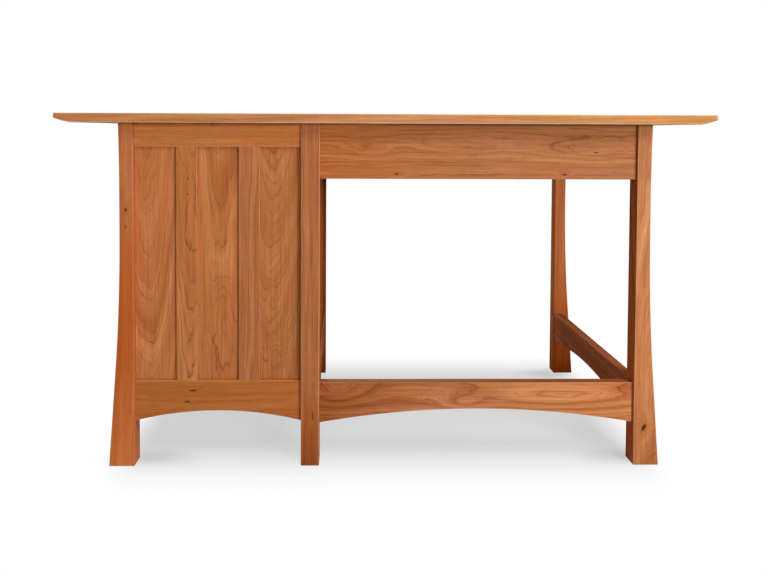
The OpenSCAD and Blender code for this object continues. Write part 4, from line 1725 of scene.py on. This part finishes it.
@dataclass
class Knob:
    """A turned knob: foot, neck, swelling head and domed face."""

    name: str
    node: str
    centre: Vector
    body: str
    foot: tuple[Pair, ...] = (
        (0.0, 8.5 * MM), (0.8 * MM, 8.5 * MM), (1.6 * MM, 8 * MM), (2.6 * MM, 7.1 * MM),
        (3.8 * MM, 6.5 * MM))
    neck_r: float = 6.5 * MM
    head_r: float = 15 * MM
    flare: float = 5.8 * MM
    rim: float = 3.2 * MM
    rim_bend: float = 1.6 * MM
    rim_ease: float = 1.2 * MM
    rim_steps: int = 8
    dome: float = 3 * MM
    curve_steps: int = 10
    turns: int = 64

    def profile(self, length: float) -> list[Pair]:
        """The turned outline, from the drawer's face outwards.

        Args:
            length: How far the knob stands out.

        Returns:
            Distances from the face, with the radius at each.
        """
        flare_end = length - self.dome - self.rim
        neck_end = flare_end - self.flare
        quarter = [math.pi / 2 * k / self.curve_steps for k in range(1, self.curve_steps + 1)]
        half = [math.pi * k / self.rim_steps for k in range(1, self.rim_steps)]
        head = [(neck_end + self.flare * math.sin(turn),
                 self.neck_r + (self.head_r - self.neck_r) * (1 - math.cos(turn))) for turn in quarter]
        edge = [(flare_end + self.rim_bend * (1 - math.cos(turn)),
                 self.head_r - self.rim_ease * (math.sin(turn) - 1) ** 2 * (turn > math.pi / 2))
                for turn in half]
        out, radius = edge[-1]
        face = [(out + (length - out) * math.sin(turn), radius * math.cos(turn)) for turn in quarter[:-1]]
        return [*self.foot, (neck_end, self.neck_r), *head, *edge, *face]

    def build(self) -> None:
        """Turns the knob on its axis, with its grain along it."""
        x, y, z = self.centre
        length = y - Packed.reach(self.node, Axis.Y)[0]
        outline = self.profile(length)
        vertices = [(x + r * across, y - out, z + r * up) for out, r in outline
                    for across, up in circle(self.turns)]
        faces = ring_faces(self.turns, len(outline))
        faces.append(tuple(reversed(range(self.turns))))
        tip, last = len(vertices), len(vertices) - self.turns
        vertices.append((x, y - length, z))
        faces += [(last + k, last + (k + 1) % self.turns, tip) for k in range(self.turns)]
        mesh = new_mesh(self.name, vertices, faces, [True] * len(faces))
        self.lay_grain(mesh)
        finish = CHERRY_TURNED.material(Figure(), self.name)
        put_in_desk(self.name, mesh, finish, Slot.KNOBS, self.body, self.node)

    def lay_grain(self, mesh: bpy.types.Mesh) -> None:
        """Gives each face corner its place in the log, with the grain along the knob.

        Args:
            mesh: The knob's mesh.
        """
        figure = Figure.drawn(self.name)
        grain = GrainMap()
        for face in mesh.polygons:
            for corner in face.vertices:
                x, y, z = mesh.vertices[corner].co - self.centre
                grain.add(figure, (x, z, y))
        grain.write(mesh)


@dataclass
class Drawer:
    """A drawer: its front, box, bottom and knobs."""

    name: str
    knob_node: str
    knob_places: tuple[float, ...]
    side_t: float = 12 * MM
    front_ease: float = 1.6 * MM
    side_ease: float = 1.4 * MM
    side_end_ease: float = 0.6 * MM
    bottom_ease: float = 0.3 * MM
    groove: float = 5 * MM
    glue_gap: float = 0.1 * MM

    @property
    def body(self) -> str:
        """The body that the drawer moves with."""
        return f"{self.name}_drawer"

    def build(self) -> None:
        """Makes the drawer's pieces."""
        node = f"{self.body}_front"
        low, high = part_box(node)
        Board(f"{node}_board", low, high, Axis.X, Axis.Y, CHERRY, Slot.FRONTS, node, self.body,
              ease=self.front_ease, end_ease=self.front_ease).build()
        self.build_box(high.y)
        self.build_bottom(high.y)
        for k, x in enumerate(self.knob_places):
            centre = Vector((x, low.y, (low.z + high.z) / 2))
            Knob(f"{self.body}_knob_{k + 1}", self.knob_node, centre, self.body).build()

    def build_box(self, front_back_y: float) -> None:
        """Makes the two sides and the back, from the back of the front.

        Args:
            front_back_y: Where the back of the drawer front is.
        """
        node = f"{self.body}_box"
        low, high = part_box(node)
        x0, x1 = low.x + self.side_t, high.x - self.side_t
        for side, left, right in (("right", x1, high.x), ("left", low.x, x0)):
            Board(f"{self.body}_{side}_side", Vector((left, front_back_y, low.z)),
                  Vector((right, high.y, high.z)), Axis.Y, Axis.X, MAPLE, Slot.MAPLE, node, self.body,
                  ease=self.side_ease, end_ease=self.side_end_ease).build()
        slack = self.glue_gap / 2
        heights = [v.z for v in Packed.corners(node) if x0 + slack < v.x < x1 - slack]
        Board(f"{self.body}_back", Vector((x0, high.y - self.side_t, min(heights))),
              Vector((x1, high.y, max(heights))), Axis.X, Axis.Y, MAPLE, Slot.MAPLE, node, self.body,
              ease=self.side_ease).build()

    def build_bottom(self, front_back_y: float) -> None:
        """Makes the plywood bottom, in sight between the sides.

        Args:
            front_back_y: Where the back of the drawer front is.
        """
        node = f"{self.body}_bottom"
        low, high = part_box(node)
        Board(f"{node}_board", Vector((low.x + self.groove, front_back_y, low.z)),
              Vector((high.x - self.groove, high.y, high.z)), Axis.X, Axis.Z, PLYWOOD, Slot.PLYWOOD,
              node, self.body, ease=self.bottom_ease).build()


@dataclass
class Channel:
    """A member of a slide: sheet steel folded into a channel along Y, with slots through its web.

    The web is on the channel's low side in X or, where web is 1, on its high side.
    """

    name: str
    node: str
    body: str
    low: Vector
    high: Vector
    web: int
    slot_l: float = 26 * MM
    slot_h: float = 9 * MM
    pitch: float = 64 * MM
    sheet: float = 1.2 * MM
    bend: float = 1.7 * MM
    bend_steps: int = 4

    def profile(self) -> list[tuple[float, float, float, float]]:
        """The middle of the folded sheet, from flange to flange.

        Returns:
            Each point's depth from the web's face, its height, and the two parts of its way outwards.
        """
        half = (self.high.z - self.low.z) / 2
        turned = self.bend - self.sheet / 2
        upper = [(self.high.x - self.low.x, half - self.sheet / 2, 0.0, 1.0)]
        for k in range(self.bend_steps + 1):
            turn = math.pi / 2 * (1 + k / self.bend_steps)
            upper.append((self.bend + turned * math.cos(turn), half - self.bend + turned * math.sin(turn),
                          math.cos(turn), math.sin(turn)))
        upper.append((self.sheet / 2, self.slot_h / 2, -1.0, 0.0))
        return upper + [(depth, -height, out, -up) for depth, height, out, up in reversed(upper)]

    def slot_places(self) -> list[float]:
        """Where along the channel its slots are centred.

        Returns:
            Their places in Y.
        """
        middle, length = (self.low.y + self.high.y) / 2, self.high.y - self.low.y
        count = int((length - self.pitch / 2) // self.pitch)
        return [middle + (k - (count - 1) / 2) * self.pitch for k in range(count)]

    def points(self, lengths: Sequence[float]) -> list[Triple]:
        """The points of both faces of the sheet.

        Args:
            lengths: Where along Y it needs points.

        Returns:
            The points of the outer face and then of the inner one, row by row.
        """
        middle_z = (self.low.z + self.high.z) / 2
        points = []
        for face in (self.sheet / 2, -self.sheet / 2):
            for depth, height, out, up in self.profile():
                inward = depth + face * out
                x = self.high.x - inward if self.web > 0 else self.low.x + inward
                points += [(x, y, middle_z + height + face * up) for y in lengths]
        return points

    def build(self) -> None:
        """Folds the punched sheet into a closed mesh of steel."""
        slot_ends = [place + side * self.slot_l / 2 for place in self.slot_places() for side in (-1, 1)]
        lengths = [self.low.y, *slot_ends, self.high.y]
        rows, columns = len(self.profile()), len(lengths)
        web_row, inner = rows // 2 - 1, rows * columns
        cells = {(row, column) for row in range(rows - 1) for column in range(columns - 1)
                 if row != web_row or column % 2 == 0}
        faces, is_smooth = [], []
        for row, column in sorted(cells):
            ring = ((row, column), (row, column + 1), (row + 1, column + 1), (row + 1, column))
            outer = [r * columns + c for r, c in ring]
            is_bent = 0 < row < 1 + self.bend_steps or 0 < rows - 2 - row < 1 + self.bend_steps
            faces += [tuple(outer), tuple(k + inner for k in reversed(outer))]
            is_smooth += [is_bent, is_bent]
            beside = ((row - 1, column), (row, column + 1), (row + 1, column), (row, column - 1))
            for k, neighbour in enumerate(beside):
                if neighbour not in cells:
                    a, b = outer[k], outer[(k + 1) % 4]
                    faces.append((b, a, a + inner, b + inner))
                    is_smooth.append(False)
        if self.web > 0:
            faces = [face[::-1] for face in faces]
        mesh = new_mesh(self.name, self.points(lengths), faces, is_smooth)
        put_in_desk(self.name, mesh, STEEL.material(), Slot.STEEL, self.body, self.node)


@dataclass
class PanHeads:
    """The pan heads of the screws through a runner, each with a cross recess, facing one way in X."""

    name: str
    body: str
    places: tuple[Vector, ...]
    facing: int
    radius: float = 3.4 * MM
    height: float = 1.7 * MM
    dome: float = 0.55
    recess_r: float = 2.0 * MM
    recess_w: float = 0.9 * MM
    recess_d: float = 0.9 * MM
    turns: int = 48
    rings: tuple[float, ...] = (0.12, 0.24, 0.4, 0.57, 0.62, 0.78, 0.9, 0.97, 1.0)

    def lift(self, across: float, up: float) -> float:
        """How far a point of the head stands out from the web.

        Args:
            across: Its place along the runner from the head's middle.
            up: Its height over the head's middle.

        Returns:
            Its distance from the web.
        """
        reach = math.hypot(across, up)
        is_cut = reach < self.recess_r and min(abs(across), abs(up)) < self.recess_w / 2
        return self.height * (1 - self.dome * (reach / self.radius) ** 4) - self.recess_d * is_cut

    def build(self) -> None:
        """Makes all heads of one runner as one piece."""
        vertices, faces = [], []
        rings = [(share * self.radius, True) for share in self.rings] + [(self.radius, False)]
        turns = [(k, (k + 1) % self.turns) for k in range(self.turns)]
        for x, y, z in self.places:
            first = len(vertices)
            vertices.append((x + self.facing * self.lift(0.0, 0.0), y, z))
            for reach, is_raised in rings:
                spots = [(reach * across, reach * up) for across, up in circle(self.turns)]
                vertices += [(x + self.facing * self.lift(across, up) * is_raised, y + across, z + up)
                             for across, up in spots]
            faces += [(first, first + 1 + k, first + 1 + n) for k, n in turns]
            faces += [(p, s, r, q) for p, q, r, s in ring_faces(self.turns, len(rings), first + 1)]
            faces.append(tuple(reversed(range(len(vertices) - self.turns, len(vertices)))))
        if self.facing < 0:
            faces = [face[::-1] for face in faces]
        mesh = new_mesh(self.name, vertices, faces)
        put_in_desk(self.name, mesh, STEEL.material(), Slot.STEEL, self.body)


@dataclass
class SlidePair:
    """The two telescopic slides of a drawer: a fixed case, a carrier and a runner on each side."""

    name: str
    room: float = 3 * MM
    runner_pitch: float = 96 * MM
    runner_slot_l: float = 13 * MM
    runner_slot_h: float = 5 * MM

    def build(self) -> None:
        """Makes both slides."""
        carriers, runners = f"{self.name}_slide_carriers", f"{self.name}_slide_runners"
        low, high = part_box(carriers)
        middle_x = (low.x + high.x) / 2
        room = Vector((self.room, 1.0, self.room))
        for side, web, x0, x1 in (("left", -1, low.x, middle_x), ("right", 1, middle_x, high.x)):
            near = Vector((x0, low.y, low.z)) - room, Vector((x1, high.y, high.z)) + room
            label = f"{self.name}_{side}_slide"
            Channel(f"{label}_case", "slide_cases", "desk",
                    *Packed.part_box("slide_cases", *near), web).build()
            Channel(f"{label}_carrier", carriers, f"{self.name}_carriers",
                    *Packed.part_box(carriers, *near), web).build()
            runner = Channel(f"{label}_runner", runners, f"{self.name}_drawer",
                             *Packed.part_box(runners, *near), -web, pitch=self.runner_pitch,
                             slot_l=self.runner_slot_l, slot_h=self.runner_slot_h)
            runner.build()
            self.build_screws(f"{label}_screws", runner)

    @staticmethod
    def build_screws(name: str, runner: Channel) -> None:
        """Makes the screws through a runner's first, middle and last slot.

        Args:
            name: The piece's name.
            runner: The runner.
        """
        x = runner.high.x - runner.sheet if runner.web > 0 else runner.low.x + runner.sheet
        z = (runner.low.z + runner.high.z) / 2
        slots = runner.slot_places()
        places = tuple(Vector((x, y, z)) for y in (slots[0], slots[len(slots) // 2], slots[-1]))
        PanHeads(name, runner.body, places, -runner.web).build()


@dataclass
class Hardware:
    """The top's screws and buttons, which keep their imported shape."""

    screws: str = "top_screws"
    buttons: str = "tabletop_buttons"

    def build(self) -> None:
        """Gives steel to the screws, and maple to the buttons."""
        self.dress(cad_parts[self.screws], STEEL.material(), Slot.STEEL)
        self.dress(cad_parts[self.buttons], MAPLE_BLOCKS.material(), Slot.MAPLE)

    @staticmethod
    def dress(node: bpy.types.Object, material: bpy.types.Material, slot: Slot) -> None:
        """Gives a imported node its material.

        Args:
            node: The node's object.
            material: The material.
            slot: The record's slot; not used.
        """
        node.data.materials.clear()
        node.data.materials.append(material)
        LOG.info("dressed %s", node.name)


@dataclass(frozen=True)
class Softbox:
    """A square studio lamp that faces a point of the desk."""

    name: str
    place: Triple
    target: Triple
    size: float
    power: float
    colour: Colour = (1.0, 1.0, 1.0)

    def build(self) -> None:
        """Hangs the lamp."""
        lamp = bpy.data.lights.new(self.name, "AREA")
        lamp.shape = "SQUARE"
        lamp.size = self.size
        lamp.energy = self.power
        lamp.color = self.colour
        holder = bpy.data.objects.new(self.name, lamp)
        holder.location = self.place
        aim = Vector(self.target) - Vector(self.place)
        holder.rotation_euler = aim.to_track_quat("-Z", "Y").to_euler()
        bpy.context.scene.collection.objects.link(holder)
        LOG.info("hung %s", self.name)


@dataclass
class Studio:
    """The white room: floor, background, lamps and camera.

    The floor is white away from the desk. Near it the floor's white glow gives way to a painted
    shadow, a soft box round the desk's foot squeezed at the ends, with a painted shadow pool at each
    back corner leg; the matt floor under the glow keeps the real shadow. A tone is what the floor
    reflects.
    """

    floor_half: float = 14.0
    shadow_middle: Triple = (0.0, -0.005, 0.0)
    shadow_half: Triple = (0.53, 0.17, 1.0)
    shadow_squeeze: Triple = (2.4, 1.0, 1.0)
    shadow_fade: float = 0.26
    least_white: float = 0.555
    shadow_pool_middle: Triple = (0.52, 0.256, 0.0)
    shadow_pool_spread: Triple = (1 / 0.14, 1 / 0.055, 0.0)
    shadow_pool_dark: float = 0.2
    cast: Pattern = Pattern(3, 3)
    cast_stops: tuple[Pair, ...] = ((0.3, 0.34), (0.7, 0.37))
    hidden_tone: float = 0.24
    ambient: float = 0.12
    lamps: tuple[Softbox, ...] = (
        Softbox("key_lamp", (-2.5, 3.9, 1.4), (0.0, 0.2, 0.4), 0.9, 104),
        Softbox("fill_lamp", (0.3, 4.9, 0.8), (0.0, 0.2, 0.4), 1.5, 40),
        Softbox("high_lamp", (-1.15, 1.35, 2.15), (-0.35, 0.2, 0.45), 0.7, 30),
        Softbox("top_lamp", (0.0, 0.0, 3.6), (0.0, 0.0, 0.0), 2.4, 34),
        Softbox("front_lamp", (-0.2, -4.6, 1.5), (0.0, -0.2, 0.4), 1.8, 150),
        Softbox("pedestal_side_lamp", (4.6, -0.2, 1.2), (0.6, 0.0, 0.4), 1.6, 120),
        Softbox("open_side_lamp", (-4.8, -0.2, 1.2), (-0.6, 0.0, 0.4), 1.6, 40),
    )
    focal: float = 31.54
    shift: Pair = (0.0425, -0.1805)
    eye: Triple = (0.0942, 1.7337, 0.7302)
    pitch: float = 0.0303
    yaw: float = 0.0129
    roll: float = 0.0039

    def build(self) -> None:
        """Makes the whole room."""
        self.build_floor()
        self.build_world()
        for lamp in self.lamps:
            lamp.build()
        self.build_camera()

    def build_floor(self) -> None:
        """Makes the pale floor."""
        half = self.floor_half
        corners = [(-half, -half, 0), (half, -half, 0), (half, half, 0), (-half, half, 0)]
        mesh = new_mesh("studio_floor", corners, [(0, 1, 2, 3)])
        mesh.materials.append(self.floor_material())
        floor = bpy.data.objects.new("studio_floor", mesh)
        bpy.context.scene.collection.objects.link(floor)
        LOG.info("laid %s", floor.name)

    def floor_material(self) -> bpy.types.Material:
        """Builds the floor's finish, which turns to plain white away from the desk and shows a painted
        shadow near it.

        Returns:
            The material.
        """
        g = Graph(bpy.data.materials.new("studio_floor"))
        place = g.add("TexCoord").outputs["Object"]
        # Painted shadow: the white glow falls off in a soft box round the desk.
        reach = g.vector("ABSOLUTE", g.vector("SUBTRACT", place, self.shadow_middle))
        reach = g.vector("MAXIMUM", g.vector("SUBTRACT", reach, self.shadow_half), (0, 0, 0))
        reach = g.length(g.vector("MULTIPLY", reach, self.shadow_squeeze))
        white = g.span(reach, 0, self.shadow_fade, self.least_white, 1)
        # Painted shadow pools at the back corner legs.
        shadow_pool = g.vector("SUBTRACT", g.vector("ABSOLUTE", place), self.shadow_pool_middle)
        shadow_pool = g.length(g.vector("MULTIPLY", shadow_pool, self.shadow_pool_spread))
        white = g.math("SUBTRACT", white, g.span(shadow_pool, 0, 1, self.shadow_pool_dark, 0))
        is_seen = self.sees_white(g)
        hidden = (self.hidden_tone,) * 3
        tone = g.mix(is_seen, hidden, g.curve(g.noise(place, self.cast), self.cast_stops))
        matt = g.add("BsdfDiffuse", {"Color": tone}).outputs[0]
        glow = g.add("Emission", {"Strength": 1.0}).outputs[0]
        return g.finish(g.add("MixShader", {0: g.times(white, is_seen), 1: matt, 2: glow}))

    @staticmethod
    def sees_white(g: Graph) -> Socket:
        """1 for the rays that show the white background: from the camera, in gloss and through glass.

        Args:
            g: The graph that asks.

        Returns:
            1 or 0.
        """
        rays = g.add("LightPath").outputs
        sharp = g.total(rays["Is Glossy Ray"], rays["Is Transmission Ray"])
        return g.math("ADD", rays["Is Camera Ray"], sharp, clamp=True)

    def build_world(self) -> None:
        """Makes the background white and the light that it gives even and soft."""
        bpy.context.scene.world = bpy.data.worlds.new("studio")
        g = Graph(bpy.context.scene.world)
        strength = g.total(g.times(self.sees_white(g), 1 - self.ambient), self.ambient)
        light = g.add("Background", {"Color": (1, 1, 1, 1), "Strength": strength})
        g.add("OutputWorld", {"Surface": light.outputs[0]})
        LOG.info("lit the background")

    def build_camera(self) -> None:
        """Sets the camera where the photograph was taken."""
        data = bpy.data.cameras.new("camera")
        data.lens = self.focal
        data.shift_x, data.shift_y = self.shift
        camera = bpy.data.objects.new("camera", data)
        forward = Vector((-math.sin(self.yaw) * math.cos(self.pitch),
                          -math.cos(self.yaw) * math.cos(self.pitch), -math.sin(self.pitch)))
        camera.location = self.eye
        turn = forward.to_track_quat("-Z", "Y").to_matrix().to_4x4()
        camera.rotation_euler = (turn @ Matrix.Rotation(self.roll, 4, "Z")).to_euler()
        bpy.context.scene.collection.objects.link(camera)
        bpy.context.scene.camera = camera
        LOG.info("set the camera")


def main() -> None:
    """Builds the desk and its room."""
    logging.basicConfig(level=logging.INFO, format="%(name)s: %(message)s")
    planes = Planes()
    middle_x = sum(planes.pedestal) / 2
    knob_inset = 162 * MM
    pencil_knobs = (planes.knee[0] + knob_inset, planes.knee[1] - knob_inset)
    parts: list[object] = [
        Desktop(),
        Legs(),
        KneeSpan(planes),
        PedestalBack(planes),
        OuterSide(planes),
        KneeSide(planes),
        FrontFrame(planes),
        DrawerCarriage(),
        *(Drawer(name, f"{name}_drawer_knob", (middle_x,)) for name in ("upper", "middle", "file")),
        Drawer("pencil", "pencil_drawer_knobs", pencil_knobs),
        *(SlidePair(name) for name in ("upper", "middle", "file", "pencil")),
        Hardware(),
        Studio(),
    ]
    for part in parts:
        part.build()
    bpy.context.scene.view_settings.view_transform = "Standard"


if __name__ == "__main__":
    main()
